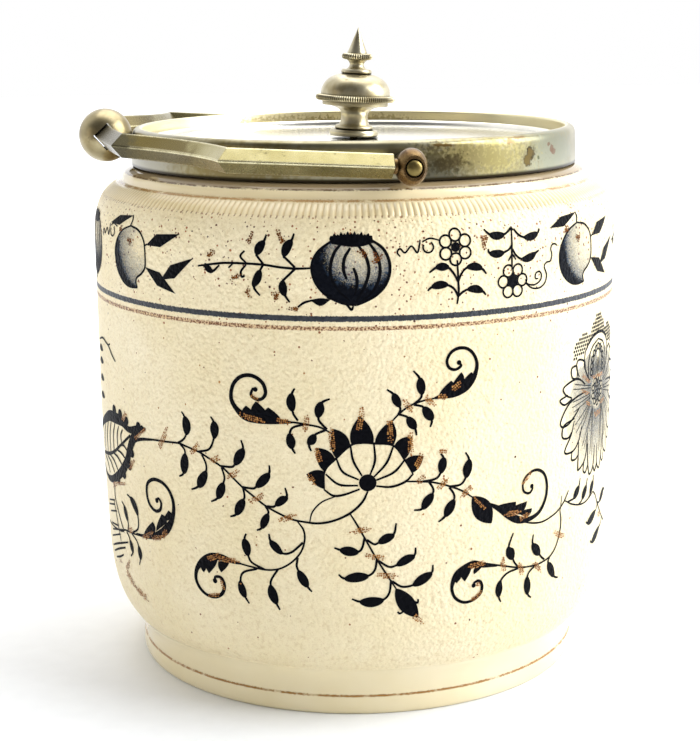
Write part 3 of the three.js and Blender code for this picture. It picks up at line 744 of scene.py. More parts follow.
ink = painted("transfer_ink_under_glaze", "#27303f", "#04050a", 0.3, 0.22, 0.5)
wash = painted("transfer_halftone_shading", "#4f6a88", "#070a12", 0.34, 0.2, 0.5, soft=0.42)
sienna = painted("brown_speckled_touches", "#a8702e", "#5f3312", 0.3, 0.1, 0.5)
gold = painted("worn_dabbed_gold", "#d69f52", "#8a561f", 0.3, 0.1, 0.4, metallic=0.2, shine=0.4)

# %% [markdown]
# ### The border
# Strips of fruit, flowers and leaves go round the shoulder. The strip is 133.5 mm long, so three of them
# leave a gap, which the decorator filled with cut pieces of a fourth. Each motif is a function or a list,
# and the strips repeat them.

# %% Shaded fruit
def shaded(left, right, columns, tone):
    """A sheet between two lines of [s, z] with as many points each, whose tone is a function of [s, z]."""
    share = np.linspace(0, 1, columns)[None, :, None]
    points = (left[:, None, :] * (1 - share) + right[:, None, :] * share).reshape(-1, 2)
    return np.column_stack([points, tone(points)]), grid_faces(len(left), columns)


def glow(s, z, wide, reach, tones):
    """A tone that grows with the distance from a bright spot, which is measured wider or narrower."""
    return lambda p: np.interp(np.hypot((p[:, 0] - s) * wide, p[:, 1] - z), reach, tones)


ROUND_LEFT = [(0.3, 109.9), (-3, 110.4), (-6.4, 112), (-8.9, 114.4), (-10.2, 117.3), (-10.2, 120.3),
              (-8.6, 123.1), (-5.5, 125.5)]
ROUND_RIGHT = [(0.3, 109.9), (2.4, 110.8), (5, 112.2), (7.2, 114.4), (8.4, 117.4), (8.3, 120.6), (6.8, 123.6),
               (3.8, 125.8)]
OVAL_LEFT = [(66.2, 125.9), (62, 124.4), (59, 121.7), (57.7, 118.5), (58.3, 115), (60.2, 112.4),
             (63.2, 110.6), (66.2, 110.1), (69.4, 110.3)]
OVAL_RIGHT = [(66.2, 125.9), (69.8, 125.2), (72, 123.6), (73.1, 121.3), (73.2, 116.4), (71.6, 114.3),
              (69.3, 112.9), (68.8, 111.6), (69.4, 110.3)]


def ribbed_fruit():
    """The round fruit: ribs like the lines of a globe, a spiky crown and a leafy stalk."""
    marks = [stroke(*ROUND_LEFT, width=0.7), stroke(*ROUND_RIGHT, width=0.75)]
    marks += [stroke(*rib, width=0.8) for rib in (
        ((-3.3, 124.7), (-4.9, 122.6), (-5.8, 119.5), (-5.6, 116.5), (-4, 113.6), (-1.2, 111)),
        ((-1, 123.8), (-2.4, 121.4), (-2.7, 118.6), (-2, 116.3)),
        ((-0.3, 119), (0.4, 117), (0.5, 114.8), (-0.1, 112.4)),
        ((1, 124.2), (2.6, 121.9), (3.4, 118.8), (2.9, 115.8), (1.6, 112.9), (0.3, 110.8)),
        ((3.5, 125), (5.3, 122.2), (6.1, 118.8), (5.6, 115.5), (3.8, 112.6), (1.2, 110.6)))]
    marks += [between_lines([(-6.2, 124.9), (-3, 126.6), (0, 127), (2.6, 126.6), (5.2, 125.2)],
                            [(-6.2, 124.9), (-3, 124.3), (0, 124), (2.6, 124.3), (5.2, 125.2)], 6)]
    marks += [lens(1.2, (-5.3 + 0.75 * i, 124.6), (-5.5 + 0.78 * i, 126),
                   (-5.8 + 0.84 * i, 127.3 - 0.02 * (i - 6) ** 2 + 0.4 * (i % 2))) for i in range(13)]
    return marks + [stroke((-0.4, 109.7), (-0.9, 108.8), (-2.2, 110.2), (-4.6, 111.2), (-6.8, 111.8),
                           width=0.6), stroke((-10.5, 111), (-12.4, 110.4), (-13.9, 109.3)),
                    between_lines([(-5.8, 111.3), (-8.3, 111.6), (-11, 111.1)],
                                  [(-5.8, 111.3), (-8.3, 109.7), (-11, 111.1)], 6)]


def ribbed_shade():
    """Its shading: dark on the left and below, bright towards the upper right."""
    tone = glow(1.5, 122.5, 0.9, [1, 3.5, 6, 8.2, 11], [0.3, 0.5, 0.66, 0.95, 1.4])
    return [shaded(smooth_line(ROUND_LEFT, 3), smooth_line(ROUND_RIGHT, 3), 19, tone)]


def oval_fruit():
    """The smooth fruit with four rhomb-shaped leaves."""
    body = [stroke(*OVAL_LEFT, width=0.55), stroke(*OVAL_RIGHT, width=0.6)]
    return body + [stroke((66.4, 128.6), (66.7, 127.4), (66.1, 126)),
                   kite((66.6, 128.5), (59.4, 128), (54.2, 125.6), (60, 125.5)),
                   stroke((73, 121.4), (74.2, 122)),
                   kite((73.8, 121.7), (77.7, 124.8), (86.2, 125.5), (79.4, 121.7)),
                   kite((73.2, 116.1), (79, 115.3), (84.6, 110.4), (77.9, 111.8)),
                   kite((79.4, 113.5), (83, 117.5), (90.8, 119.9), (84.4, 114.3))]


def oval_shade():
    """Its shading: a dark edge on the left, softening towards the right."""
    tone = glow(71.5, 121.5, 1.0, [2, 5, 8, 10.5, 12.6], [0.12, 0.36, 0.54, 0.74, 1.2])
    return [shaded(smooth_line(OVAL_LEFT, 3), smooth_line(OVAL_RIGHT, 3), 15, tone)]

# %% Sprig and tendrils
sprig = [stroke((-40.8, 118.1), (-35.5, 119), (-32, 119.4), (-27, 119.5), (-22.5, 119.4), (-18, 118.9),
                (-14, 118.7), (-10.3, 118.9)),
         leaf(1.6, (-38.8, 118.8), (-37.6, 117.6), (-36.2, 117.2), (-34.4, 118.7)),
         stroke((-31.8, 118.2), (-30.5, 119.4)), stroke((-27, 119.7), (-28.5, 121.2), (-27.4, 122.6)),
         stroke((-27, 119.2), (-28.4, 117.5), (-28.2, 116.2), (-27.4, 116.5)),
         leaf(2.2, (-22.5, 119.6), (-24, 121.4), (-24.2, 121.8), (-23.5, 123.5), (-22.3, 125.2),
              (-21.8, 126.7)),
         leaf(2.0, (-22.5, 119.4), (-23.2, 118.2), (-23.3, 118), (-24.1, 116), (-25, 113.8),
              (-23.5, 111.8)),
         leaf(2.2, (-14.5, 119), (-16.8, 121.2), (-17.2, 121.6), (-16.5, 123.8), (-15.3, 125.6),
              (-14.8, 127.1)),
         leaf(2.0, (-14.5, 118.6), (-17.2, 116), (-17.5, 115.7), (-17.6, 113.8), (-17, 112),
              (-15.9, 110.4))]
tendril = [
    stroke((11, 121.5), (10.3, 122.5), (11, 123.4), (12.2, 122.4), (13.8, 123.9), (15.2, 122.3), (15.8, 124),
           (16, 125.4), width=0.45),
    arc(18, 123.5, 1.3, 0.45, 150, 420), stroke((16.5, 124.8), (18.5, 125.6), (21, 125), width=0.45),
]

# %% Flowers of the border
def ring_flower(s, z, heart, turned_by):
    """A dot with six round petals drawn as rings."""
    turns = np.radians(np.arange(0, 360, 60) + turned_by)
    return [dot(s, z, heart)] + [arc(s + 2.95 * math.cos(a), z + 2.95 * math.sin(a), 1.5, 0.5) for a in turns]


upright_flower = ring_flower(25, 123.2, 1.2, 30) + [
    stroke((25.4, 120), (25.7, 115), (25.8, 112), (25.4, 109.2)),
    leaf(1.9, (25.6, 114.8), (24.6, 116.6), (23.2, 118.2), (21.5, 118.6), (19.8, 118.4), (18.2, 117.3)),
    leaf(1.9, (25.7, 114.8), (26.6, 116.7), (28, 118), (30.2, 118.1), (32.2, 117.4), (33.4, 116.1)),
    leaf(1.9, (25.7, 111.1), (24.6, 113), (23, 114), (20.9, 114.2), (18.8, 113.7), (17.8, 112.9)),
    leaf(1.9, (25.7, 111.1), (26.8, 112), (28.2, 112.6), (30.4, 112.6), (32.4, 111.8), (33.3, 110.9)),
]
hanging_flower = ring_flower(41.3, 113.7, 1.6, 0)
hanging_flower += [stroke((41, 116.5), (40.9, 121), (41.2, 127.2)),
                   stroke((39.8, 118.8), (41, 120.1), (42.2, 118.9), width=0.55), dot(41.2, 126.5, 0.5),
                   leaf(1.9, (40.9, 122.5), (40, 121.6), (38.5, 121), (36.5, 120.8), (34.3, 121.2),
                        (33.9, 122.2)),
                   leaf(1.9, (41.1, 121.6), (42.2, 120), (44, 118.9), (46.5, 119), (48.7, 120),
                        (49.8, 120.6)),
                   leaf(1.9, (41, 126.8), (40, 126), (38.8, 125.4), (36.6, 125.2), (34.5, 125.7),
                        (33, 127)),
                   leaf(1.9, (41.8, 126.5), (43.2, 125), (45, 124.2), (47.4, 124.2), (49.6, 124.9),
                        (50.4, 125.9)),
                   stroke((45.3, 113.7), (46, 112.5), (48.3, 112), (50.3, 112.8), (50.8, 114.2),
                          (50, 115.2), (48.8, 114.8), (48.7, 113.6), (49.7, 113.4), width=0.45)]
long_tendril = [
    stroke((45.5, 112.6), (47.5, 111.3), (50, 111), (52, 112), (52.7, 114), (51.8, 116.2), (52.6, 117.2),
           (54, 117.4), (54.6, 118.8), (54.2, 120.5), (54.8, 121.5), (56, 121.5), (56.7, 121), width=0.45),
]

# %% Border strips
fruit, oval = ribbed_fruit(), oval_fruit()
strip = sprig + fruit + tendril + upright_flower + hanging_flower
border = strip + long_tendril + oval
border += moved(strip, 133.5)
border += moved(strip + long_tendril + oval, 227)
border += moved(sprig + fruit + tendril, -95.1) + moved(oval, -132.9)
printed("printed_border", border, ink)

# %% [markdown]
# ### The main pattern
# Below the border runs the traditional flower and vine: a fan-shaped lotus on an S-shaped vine with paired
# leaves, and branches that end in curled acanthus leaves. One such group covers half of the jar, and the
# same group covers the other half.

# %% Lotus
half_round = math.pi * JAR_RADIUS
LOTUS_S, LOTUS_Z, LOTUS_HEART = 2.8, 65.4, 2.2

lotus = [
    dot(LOTUS_S, LOTUS_Z, LOTUS_HEART),
    stroke((0.4, 64.7), (-4.3, 65), (-7.6, 67.6)), stroke((0.6, 66.2), (-3.3, 68.2), (-4.9, 71.6)),
    stroke((1.4, 67.2), (-0.7, 71), (-1.4, 75)), stroke((3.4, 67.4), (4.6, 71), (4.4, 75.3)),
    stroke((4.4, 66.9), (7.5, 70.4), (9.2, 74.6)), stroke((4.9, 66), (9.3, 67.9), (12, 70.9)),
    stroke((4.9, 64.5), (8.6, 64.2), (12.1, 65.3), (14.2, 67.3)),
    stroke((0.8, 63.8), (-3, 62.4), (-5.7, 62.1), (-8, 63.6)),
    stroke((-8, 63.6), (-7.8, 68.4), (-5, 71.6), (-1.3, 75), (1.5, 75.6), (4.4, 75.4), (9.2, 74.7), (12, 71),
           (14.1, 67.3), width=0.55),
    flame(1.3, (-8, 63.8), (-12.4, 67.4), (-7.9, 68.3)), flame(1.7, (-8, 68.4), (-9.9, 74.3), (-5.2, 71.6)),
    flame(1.8, (-5, 71.8), (-5.8, 79.2), (-1.4, 75.1)), flame(1.6, (-1.2, 75.3), (1.0, 82.4), (4.3, 75.5)),
    flame(1.7, (4.6, 75.4), (8.8, 81.2), (9.2, 74.8)), flame(1.6, (9.4, 74.6), (13.8, 76.8), (12, 71.1)),
    flame(1.4, (12.2, 71), (16.8, 71.6), (14.2, 67.6)),
    stroke((2.8, 63.2), (1.4, 60.4), (-1.6, 57.6), (-5.7, 55.6), (-10, 54.8), (-15, 55.3), width=0.6),
    stroke((-11.8, 55), (-11, 57.8), (-8.6, 60.4), (-5, 62), width=0.4),
]

# %% Vine and branches
vines = [stroke((-63.3, 70.2), (-59, 71), (-54, 71.4), (-49, 71.8), (-46.4, 71.4), (-42.1, 70.5),
                (-39.3, 69.4), (-35, 67.4), (-32.1, 65.1), (-29.3, 62.8), (-26.4, 60.8), (-23.2, 58.6),
                (-19.3, 56.7), (-15.7, 55.4), (-11.4, 54.8), width=0.55),
         stroke((-15, 55.2), (-13.4, 52.9), (-13.2, 50.1), (-14.3, 46.9), (-16.8, 44.1), (-20, 42.2),
                (-23.6, 41.6), (-27.9, 42), (-32, 42.6), width=0.5),
         stroke((-5.7, 77.8), (-8.6, 79.4), (-11.4, 80), (-15, 80.5), (-17.5, 80.5), width=0.5),
         stroke((8.6, 80.6), (11.1, 83.1), (13.6, 84.7), (16.4, 85.6), (19.6, 86.1), width=0.5),
         stroke((12.1, 65.4), (16.4, 65.1), (20, 64.5), (23.6, 63.3), (27.1, 61.7), (30, 59.7),
                width=0.5),
         stroke((-1.6, 57.4), (0, 54.7), (2.1, 50.8), (5, 45.4), (8.2, 40.1), (10, 37.2), width=0.5),
         stroke((46, 50.6), (49.5, 49.6), (53, 49.2), (56.5, 49.8), (59.6, 50.9), (62.2, 52.8),
                (64.1, 55.3), width=0.5),
         stroke((60.4, 50.8), (61.1, 47.6), (60.8, 44.7), (59.4, 41.1), (56.9, 38.8), (52.6, 37.8),
                (48.5, 37.9), (45, 38.4), (41.4, 39.4), (37.9, 40.4), (33.6, 41.7), width=0.5),
         stroke((60.6, 50.8), (61, 54.6), width=0.4),
         stroke((62.7, 52.8), (66.1, 51.1), (70.4, 49.9), (74, 49.7), (77.2, 50.4), (79.7, 51.3),
                width=0.5),
         stroke((79.7, 51.3), (81.9, 49.7), (84, 47.2), (88.3, 43.3), (92.6, 40.4), (98, 38), (104, 37),
                width=0.5),
         stroke((-98, 39.2), (-89, 39.8), (-80.4, 40.8), (-77.6, 41.9), (-73.3, 42.3), (-68.3, 42.7),
                width=0.5)]

# %% Paired leaves
leaves = [leaf(width, *points) for width, *points in (
    (2.7, (-49, 71.9), (-47.2, 73), (-46.2, 74.4), (-45.9, 76.9), (-46.6, 79.2), (-47.5, 80.3)),
    (2.7, (-48.4, 71.7), (-47, 70.6), (-46.7, 69.4), (-47.1, 66.6), (-47.6, 64), (-49.1, 63)),
    (2.5, (-42.1, 70.6), (-38.8, 71.7), (-37.3, 74.6), (-37, 77.1), (-37.3, 79.1), (-38.1, 80.2)),
    (2.6, (-41.2, 70), (-40, 67.8), (-40, 65.8), (-41.5, 63.1), (-42.9, 61.2), (-45, 60.2)),
    (2.5, (-35.4, 67.7), (-32.4, 67.8), (-31.4, 68.5), (-30, 70.8), (-28.9, 73), (-29.4, 75.1)),
    (2.4, (-35.2, 67.3), (-34.5, 65), (-34.8, 63.4), (-35.8, 61.1), (-36.9, 59), (-38.8, 57.9)),
    (2.3, (-29.3, 62.9), (-26.6, 62.8), (-25.6, 63.3), (-23.6, 65.2), (-22, 67.2), (-21.9, 69.2)),
    (2.4, (-29.2, 62.7), (-28.9, 60.8), (-29.1, 59.7), (-30.3, 57.6), (-31.6, 55.4), (-33.2, 54.7)),
    (2, (-22.8, 58.5), (-21.2, 58.5), (-20.5, 58.9), (-18.9, 60.3), (-17.5, 61.5), (-17.9, 63.7)),
    (2, (-23.2, 58.5), (-22.5, 57.3), (-22.6, 56.5), (-23.5, 54.6), (-24.5, 52.6), (-25.8, 51.9)),
    (2.3, (-14.3, 81), (-15.3, 82.4), (-15.6, 83.3), (-16, 85.6), (-15.7, 87.8), (-15, 89.1)),
    (2.3, (-7.1, 79), (-8.8, 80.8), (-9.2, 81.9), (-8.9, 84), (-8.2, 85.8), (-6.3, 86.7)),
    (2.3, (-12.9, 80.1), (-15.6, 79.2), (-16.4, 77.7), (-16.2, 75.6), (-15.8, 73.8), (-15.1, 72.6)),
    (2.1, (-7.3, 78.9), (-9.4, 78), (-10, 77.6), (-10.9, 76.2), (-11.6, 74.9), (-11.1, 73.4)),
    (2, (10.4, 82.5), (10.9, 83.5), (10.8, 84.4), (9.9, 86.2), (9.1, 87.8), (7.6, 88.9)),
    (2.2, (14.4, 85), (15.9, 86.2), (16.3, 87.2), (16.1, 89.4), (15.7, 91.5), (14.2, 93.3)),
    (2.2, (10.4, 82.6), (12, 82.1), (12.7, 81.7), (13.8, 80.1), (14.7, 78.6), (15, 77)),
    (2.4, (14.3, 84.8), (16, 84.4), (16.7, 84), (18, 82.2), (18.9, 80.5), (18.5, 78.9)),
    (2.2, (16.4, 65.1), (19.8, 65.5), (21.2, 66.9), (21.7, 69), (21.9, 70.9), (21.2, 71.9)),
    (2.4, (23.6, 63.2), (26.6, 63.4), (28, 65), (28.5, 67.4), (28.9, 69.7), (27.9, 71.6)),
    (2.3, (18.2, 64.9), (19.3, 63.1), (19.2, 61.8), (17.9, 60), (16.4, 58), (14.4, 57.8)),
    (2.4, (23.6, 63), (24.8, 61.2), (24.9, 59.7), (23.7, 57.5), (22.5, 55.5), (20.8, 54.2)),
    (2, (-13.6, 49.6), (-16.6, 46.9), (-19, 46.4), (-20.9, 48), (-22.2, 49.6), (-22.5, 51.3)),
    (2.4, (-23.9, 41.6), (-27.4, 43.1), (-28.4, 44.8), (-28.9, 47.2), (-29.3, 49.3), (-28.8, 50.7)),
    (2.3, (-15.1, 45.5), (-15.4, 43.4), (-15, 42.1), (-13.8, 39.8), (-12.6, 37.8), (-11.6, 36.6)),
    (2.5, (-20.4, 42), (-22.2, 39.2), (-22.5, 37.6), (-22, 35.1), (-21, 32.6), (-20.2, 31.1)),
    (2.1, (-26.1, 41.6), (-30, 40.2), (-31, 37.8), (-30.6, 35.4), (-29.7, 33.4), (-28.7, 31.9)),
    (2.7, (45, 38.5), (43.7, 39.9), (43.1, 41), (42.1, 42.9), (41.5, 44.8), (42.8, 48.2)),
    (2.5, (54.7, 38.5), (53.4, 39.5), (52.7, 40.3), (51.2, 42), (49.8, 44), (49.9, 46.4)),
    (2.1, (45, 38.2), (41.4, 37.6), (39.3, 35.9), (38.8, 33.6), (38.9, 31.5), (39.6, 30)),
    (2.3, (52, 37.8), (49.6, 36.8), (48.4, 35.2), (48.5, 32.6), (49, 30.1), (50.3, 28.9)),
    (2.3, (56.9, 38.6), (56.4, 37.9), (56.4, 37.2), (57.7, 35), (59.3, 32.7), (61.1, 31.9)),
    (2.2, (2.5, 50.6), (4.3, 49.4), (5.4, 49.7), (7.4, 50.8), (9.3, 51.9), (9.9, 54.7)),
    (2.4, (1.9, 51), (1.4, 48.7), (0.4, 47.5), (-2, 47.6), (-4.3, 48), (-5.7, 48.5)),
    (2.2, (5.4, 45), (8, 43.3), (10, 43.6), (12.4, 44.9), (14.6, 46), (14.9, 48)),
    (2.5, (5, 45.4), (4.5, 42.6), (2.9, 41.1), (-0.1, 40.7), (-3.2, 40.4), (-4.7, 41.4)),
    (2.5, (8.9, 39.4), (11.4, 37.8), (14.2, 38), (16.8, 39.4), (19.2, 41), (19.5, 43)),
    (2.6, (8.6, 39.7), (8.2, 36.4), (6.7, 34.6), (3.6, 34), (0.6, 34.2), (-1.4, 34.9)),
    (2.1, (-75.4, 42.4), (-74.8, 44), (-75.1, 45.1), (-76.1, 47.2), (-77.2, 49), (-78.6, 49.8)),
    (2.4, (-72.6, 42.4), (-68.8, 44.6), (-68.4, 48.2), (-70, 50.9), (-72.4, 52.4), (-74.3, 52.8)),
    (2, (-76.5, 41.8), (-75.1, 40.8), (-74.6, 39.9), (-73.7, 38.2), (-73.4, 36.5), (-74.8, 35.2)),
    (2.2, (-73, 42.2), (-70.3, 40.9), (-69.4, 39.6), (-68.8, 37.7), (-68.9, 35.8), (-69.6, 34.1)),
    (2.3, (64, 52.2), (65.8, 52.3), (66.9, 52.4), (68.5, 53.8), (69.8, 55.4), (70.2, 57.3)),
    (2.3, (70, 50), (71.6, 50.6), (72, 51), (73.3, 52.7), (74.4, 54.4), (74.8, 56.2)),
    (2.3, (76, 50), (77.2, 50.8), (77.4, 51.2), (78.4, 52.9), (79.3, 54.5), (79.4, 56)),
    (2.6, (84.6, 46.4), (83.8, 45.2), (83, 44.8), (79.7, 43.6), (76.6, 43.1), (75.6, 43.7)),
    (2.6, (92, 40.6), (91, 39.2), (89, 38.6), (84.7, 37.2), (81.2, 36.4), (80, 37.1)),
    (2.6, (84, 47), (86, 46.4), (87, 46.6), (89.7, 47.8), (92.4, 48.6), (94, 48)))]

# %% Acanthus curls
def curl(*points, knob=0.62):
    """A curled leaf's spine through points of [s, z, width], and a small knob at its inner end."""
    *spine, end = points
    return [stroke(*spine, (*end, knob)), dot(*end, knob)]


def lobes(*feet_and_tips):
    """Pointed lobes of a curled leaf, each from two feet on the spine to a tip."""
    return [flame(1.2, left, tip, right) for left, tip, right in feet_and_tips]


curls = curl((-15.7, 80.5, 0.5), (-19, 80.6, 1.4), (-22, 80.9, 2.4), (-25, 81, 2.6), (-28, 81.3, 2.2),
             (-30.3, 82.8, 1.4), (-31.9, 85.5, 1.1), (-31.3, 89, 1), (-29, 91.3, 1), (-26, 91.7, 1),
             (-23.4, 90.2, 1), (-22.5, 87.8, 0.95), (-23.3, 86.2, 0.85), (-24.9, 85.8, 0.8),
             (-26.4, 86.7, 0.7), (-25.9, 88.3, 0.7), (-25.2, 88.3))
curls += lobes(((-18.6, 81), (-21.9, 84), (-22.6, 81.5)), ((-22, 81.6), (-25.1, 85.3), (-26.4, 81.6)),
               ((-25.5, 81.6), (-27.8, 84), (-28.8, 81.8)))
curls += curl((19.5, 86.1, 0.5), (21.5, 86.5, 1.3), (24.5, 87, 2.2), (27.5, 88.2, 2.4), (29.5, 89.9, 1.8),
              (30.6, 91.8, 1.2), (30.9, 94, 0.95), (30, 96.3, 0.85), (28.2, 97.9, 0.85),
              (25.8, 98.2, 0.85), (23.8, 97.2, 0.8), (22.8, 95.2, 0.8), (23.4, 93.5, 0.8),
              (25, 92.9, 0.75), (26.5, 93.7, 0.75), (26, 94.6))
curls += lobes(((20.8, 87), (23.9, 90.2), (24.4, 88)), ((23.6, 87.8), (26.6, 92.1), (27.2, 89)),
               ((26.6, 89), (29.3, 91.9), (29.8, 90)))
curls += curl((34.4, 57.6, 0.5), (38.5, 55.2, 1.7), (41.5, 53, 2.1), (44.6, 51.4, 2), (48.4, 51, 1.3),
              (51.9, 52.3, 1.1), (54, 55.4, 1), (54.4, 58.8, 0.95), (53.4, 61.8, 0.85),
              (51.2, 63.5, 0.85), (48.8, 63.7, 0.75), (46.4, 62.5, 0.65), (45.5, 60.6, 0.65),
              (46, 58.7, 0.65), (47.8, 58, 0.7), (48.9, 58.9, 0.65), (48.7, 59.7))
curls += lobes(((36.3, 56), (43.4, 56.5), (41, 53.8)), ((40.2, 54.5), (47.1, 55.9), (44.6, 52.8)),
               ((43.8, 53.3), (49, 53.7), (47.2, 51.6)))
curls += curl((38, 40.2, 0.5), (34, 41, 1.3), (31, 41.8, 1.9), (28.5, 40.9, 2.4), (26, 39.5, 1.8),
              (24.8, 36.5, 0.95), (25.6, 33.6, 0.85), (28, 31.9, 0.8), (30.8, 32, 0.8), (33, 33.5, 0.85),
              (33.5, 35.5, 0.9), (32.6, 37, 0.8), (31.3, 36.8, 0.7), (31, 36))
curls += lobes(((33.5, 41), (31, 39), (31.3, 41)), ((30.2, 41), (28.4, 37.5), (27.4, 40)),
               ((28, 40), (26.1, 37.3), (25.4, 39.5)))
curls += curl((-30.5, 42.4, 0.5), (-33, 42.6, 1), (-36, 43.3, 1.7), (-39.5, 43, 2.1), (-42.5, 41.3, 1.9),
              (-44.6, 38.8, 1.3), (-45.1, 36, 1.05), (-43.8, 33.6, 0.95), (-41.5, 32.2, 0.85),
              (-38.8, 32.2, 0.95), (-36.7, 33.5, 1), (-35.9, 35.8, 1), (-36.8, 37.7, 0.9),
              (-38.6, 37.7, 0.75), (-38.8, 36.6), knob=0.72)
curls += lobes(((-34, 42.6), (-36.7, 39.2), (-37.4, 42.2)), ((-37.6, 42.5), (-40.6, 38.3), (-41.2, 41.5)),
               ((-40.4, 41.8), (-42.3, 38.3), (-43.2, 40.5)))
curls += curl((-70, 42.8, 0.6), (-66, 43.2, 1), (-62, 44, 1.5), (-58, 45.5, 2.3), (-55, 47.6, 2.5),
              (-52.9, 50.2, 1.7), (-51.8, 53.5, 1.3), (-52.1, 56.5, 1.15), (-53.7, 58.9, 1),
              (-56.3, 60.2, 1), (-59.6, 60.2, 1), (-62.3, 58.5, 1), (-62.9, 55.6, 1), (-61.8, 52.9, 1),
              (-59.4, 51.7, 0.9), (-57.3, 52.4, 0.95), (-56.7, 54.3, 0.85), (-57.7, 55.4, 0.7),
              (-58.5, 54.7), knob=0.7)
curls += lobes(((-65.8, 43.6), (-61, 48.3), (-60.4, 45.3)), ((-59.6, 46), (-56.8, 51.3), (-54.8, 49.3)),
               ((-56.2, 49.2), (-53.9, 52.9), (-52.4, 51)))
curls += [lens(5.4, (30, 59.9), (33, 56), (35.8, 52), 0.8),
          lens(4.4, (9.8, 37.4), (12.6, 33.2), (15.8, 29.2)),
          stroke((12.2, 31.4), (11, 30.6), (10.3, 31.1)),
          stroke((14.2, 33.8), (15.5, 33.2), (15.7, 34.2))]

# %% Bud at the left of the group
bud = [stroke((-62, 73.4, 0.6), (-66, 72.3, 2.4), (-71, 71.5, 1.8), (-75, 72.8, 2.8), (-80, 72.8, 3.2),
              (-85, 72.3, 3), (-90, 70.5, 2.5), (-96, 68, 1.9), (-102, 65, 0.9)),
       stroke((-64.6, 73, 0.8), (-66.5, 71.5, 1.8), (-68.5, 69.5, 2.8), (-70.8, 66, 2.8),
              (-72.5, 62.8, 2.7), (-75, 60, 3), (-78.5, 57.5, 2.7), (-83, 55.3, 2.3), (-88, 53.8, 1.9),
              (-94, 53.8, 1.2), (-102, 56, 0.6)),
       stroke((-70, 70, 0.8), (-76, 66.3, 0.8), (-82, 63, 0.9), (-88, 61, 1), (-96, 59.5, 0.9)),
       stroke((-59, 71, 0.6), (-64, 70.2, 0.9), (-67, 69.2, 0.9), (-69, 67.6, 0.7)),
       dot(-63.8, 73.2, 0.8), dot(-65.5, 73.4, 1.2), dot(-72, 73.6, 1.2), dot(-76, 74.6, 1.4),
       dot(-80.5, 74.8, 1.5), dot(-69.6, 65.2, 1.2), dot(-71.4, 61.4, 1.3), dot(-75.4, 58.2, 1.4),
       dot(-80, 55.6, 1.3)]
bud += [stroke(*rib, width=0.7)
        for rib in (
            ((-76, 66.5), (-76.2, 68.8), (-74.9, 70.6)), ((-79, 64.8), (-79, 68.2), (-77.6, 71)),
            ((-82.5, 63.2), (-82.3, 67.6), (-80.5, 71.2)), ((-86, 61.9), (-85.8, 66.8), (-83.9, 71)),
            ((-89.5, 61), (-89.4, 66), (-87, 70.4)), ((-93.5, 60.4), (-93.4, 65), (-91, 68.8)),
            ((-76.5, 66), (-74.4, 66.3), (-72.5, 65.4)), ((-80, 64), (-76.5, 63.8), (-73.4, 62.7)),
            ((-83.5, 62.4), (-79.5, 62), (-75.6, 60.1)), ((-87, 60.9), (-83, 60.2), (-79.3, 57.7)),
            ((-90.5, 59.8), (-86.5, 59), (-83.3, 56.8)), ((-95, 59.2), (-91, 58), (-88.4, 55.4)))]
bars = [stroke(*bar, width=0.65) for bar in (
    ((-93, 46.5), (-85.3, 48.4)), ((-94, 45), (-85.5, 47.1)), ((-92, 43.5), (-84, 45.6)),
    ((-91.5, 40.3), (-83, 41.6)), ((-91, 38.5), (-78, 41.8)), ((-93, 36), (-82, 39.5)),
    ((-93, 33.3), (-85, 36), (-76, 38.8)), ((-91.5, 32), (-84, 34.8), (-78.5, 36.6)),
    ((-89, 30.9), (-84, 32.5), (-80.5, 34)), ((-84, 53), (-84.5, 50), (-83, 47), (-80, 43), (-78.8, 41.8)),
    ((-86, 48), (-83.5, 41.6), (-82, 37.5)))]

# %% [markdown]
# At the right edge of the group a large open flower faces the viewer. Its petals are outlined, with
# engraved lines at their roots, and two humps of fine dots above stand for its stamens. One half is drawn
# and mirrored.

# %% Open flower
FLOWER_S, FLOWER_Z = 80.0, 79.5
petals = [stroke(*petal, width=0.58)
          for petal in (
              ((72, 80.6), (66.5, 80), (62.5, 78.5), (59.5, 75), (60, 73.3), (63, 73.5), (66.5, 75.5),
               (68.5, 77)),
              ((71.5, 82.6), (68, 84.6), (64.5, 84.8), (60.4, 83.5), (61.5, 81.5), (64.5, 80.2)),
              ((64.6, 80), (61, 79), (59, 80.5), (62.5, 81.3)),
              ((67.5, 85), (64.5, 85.5), (64, 88), (66.5, 88.3), (67, 85.5)),
              ((71.5, 86), (70.8, 88.8), (67.5, 89.8), (66.5, 88), (68, 85.2)),
              ((71.2, 91.6), (70.8, 88), (72.5, 85), (74.5, 83)),
              ((66, 74.5), (61, 73.5), (60.3, 70.5), (63, 69.8), (64.5, 71)),
              ((65.8, 73.8), (64.5, 70.5), (61.5, 66.2), (65.5, 65.7), (68.5, 68), (70, 71.5)),
              ((65.2, 65.8), (65, 63.5), (67, 63.2), (68.3, 64)),
              ((68.5, 67.5), (68.5, 61.5), (68.8, 59.8), (72, 61.5), (73.3, 64.5), (73.5, 69)),
              ((72, 61.5), (71.8, 59), (73.2, 58.2), (74.6, 60)),
              ((74, 66), (74.5, 61), (76, 57), (78.5, 59), (79, 64.5)),
              ((78.4, 59), (80, 57), (81.5, 58.5)))]
petals += [stroke((74.8 if root_z > 76 else 76.6, root_z), (tip_s, tip_z), width=0.34)
           for root_z, tip_s, tip_z in (
               (79.6, 65, 79), (79, 64.6, 77.6), (78.4, 65.4, 76.2), (81.6, 65.8, 83.6), (81, 65, 82.4),
               (77.4, 66.2, 72.6), (76.8, 66.8, 70.4), (76.2, 68.6, 69.4), (75.8, 70.6, 66), (75.6, 71.6, 65),
               (75.2, 75.8, 62.6), (75.2, 77.2, 62))]
petals += [stroke((71.2, 91.4, 0.5), (73.5, 93.4, 0.8), (76.5, 94.8, 0.9), (80, 95.3, 0.9)),
           stroke((73.4, 84), (73.4, 88.4), (75.6, 91.8), (80, 93.4), width=0.55)]
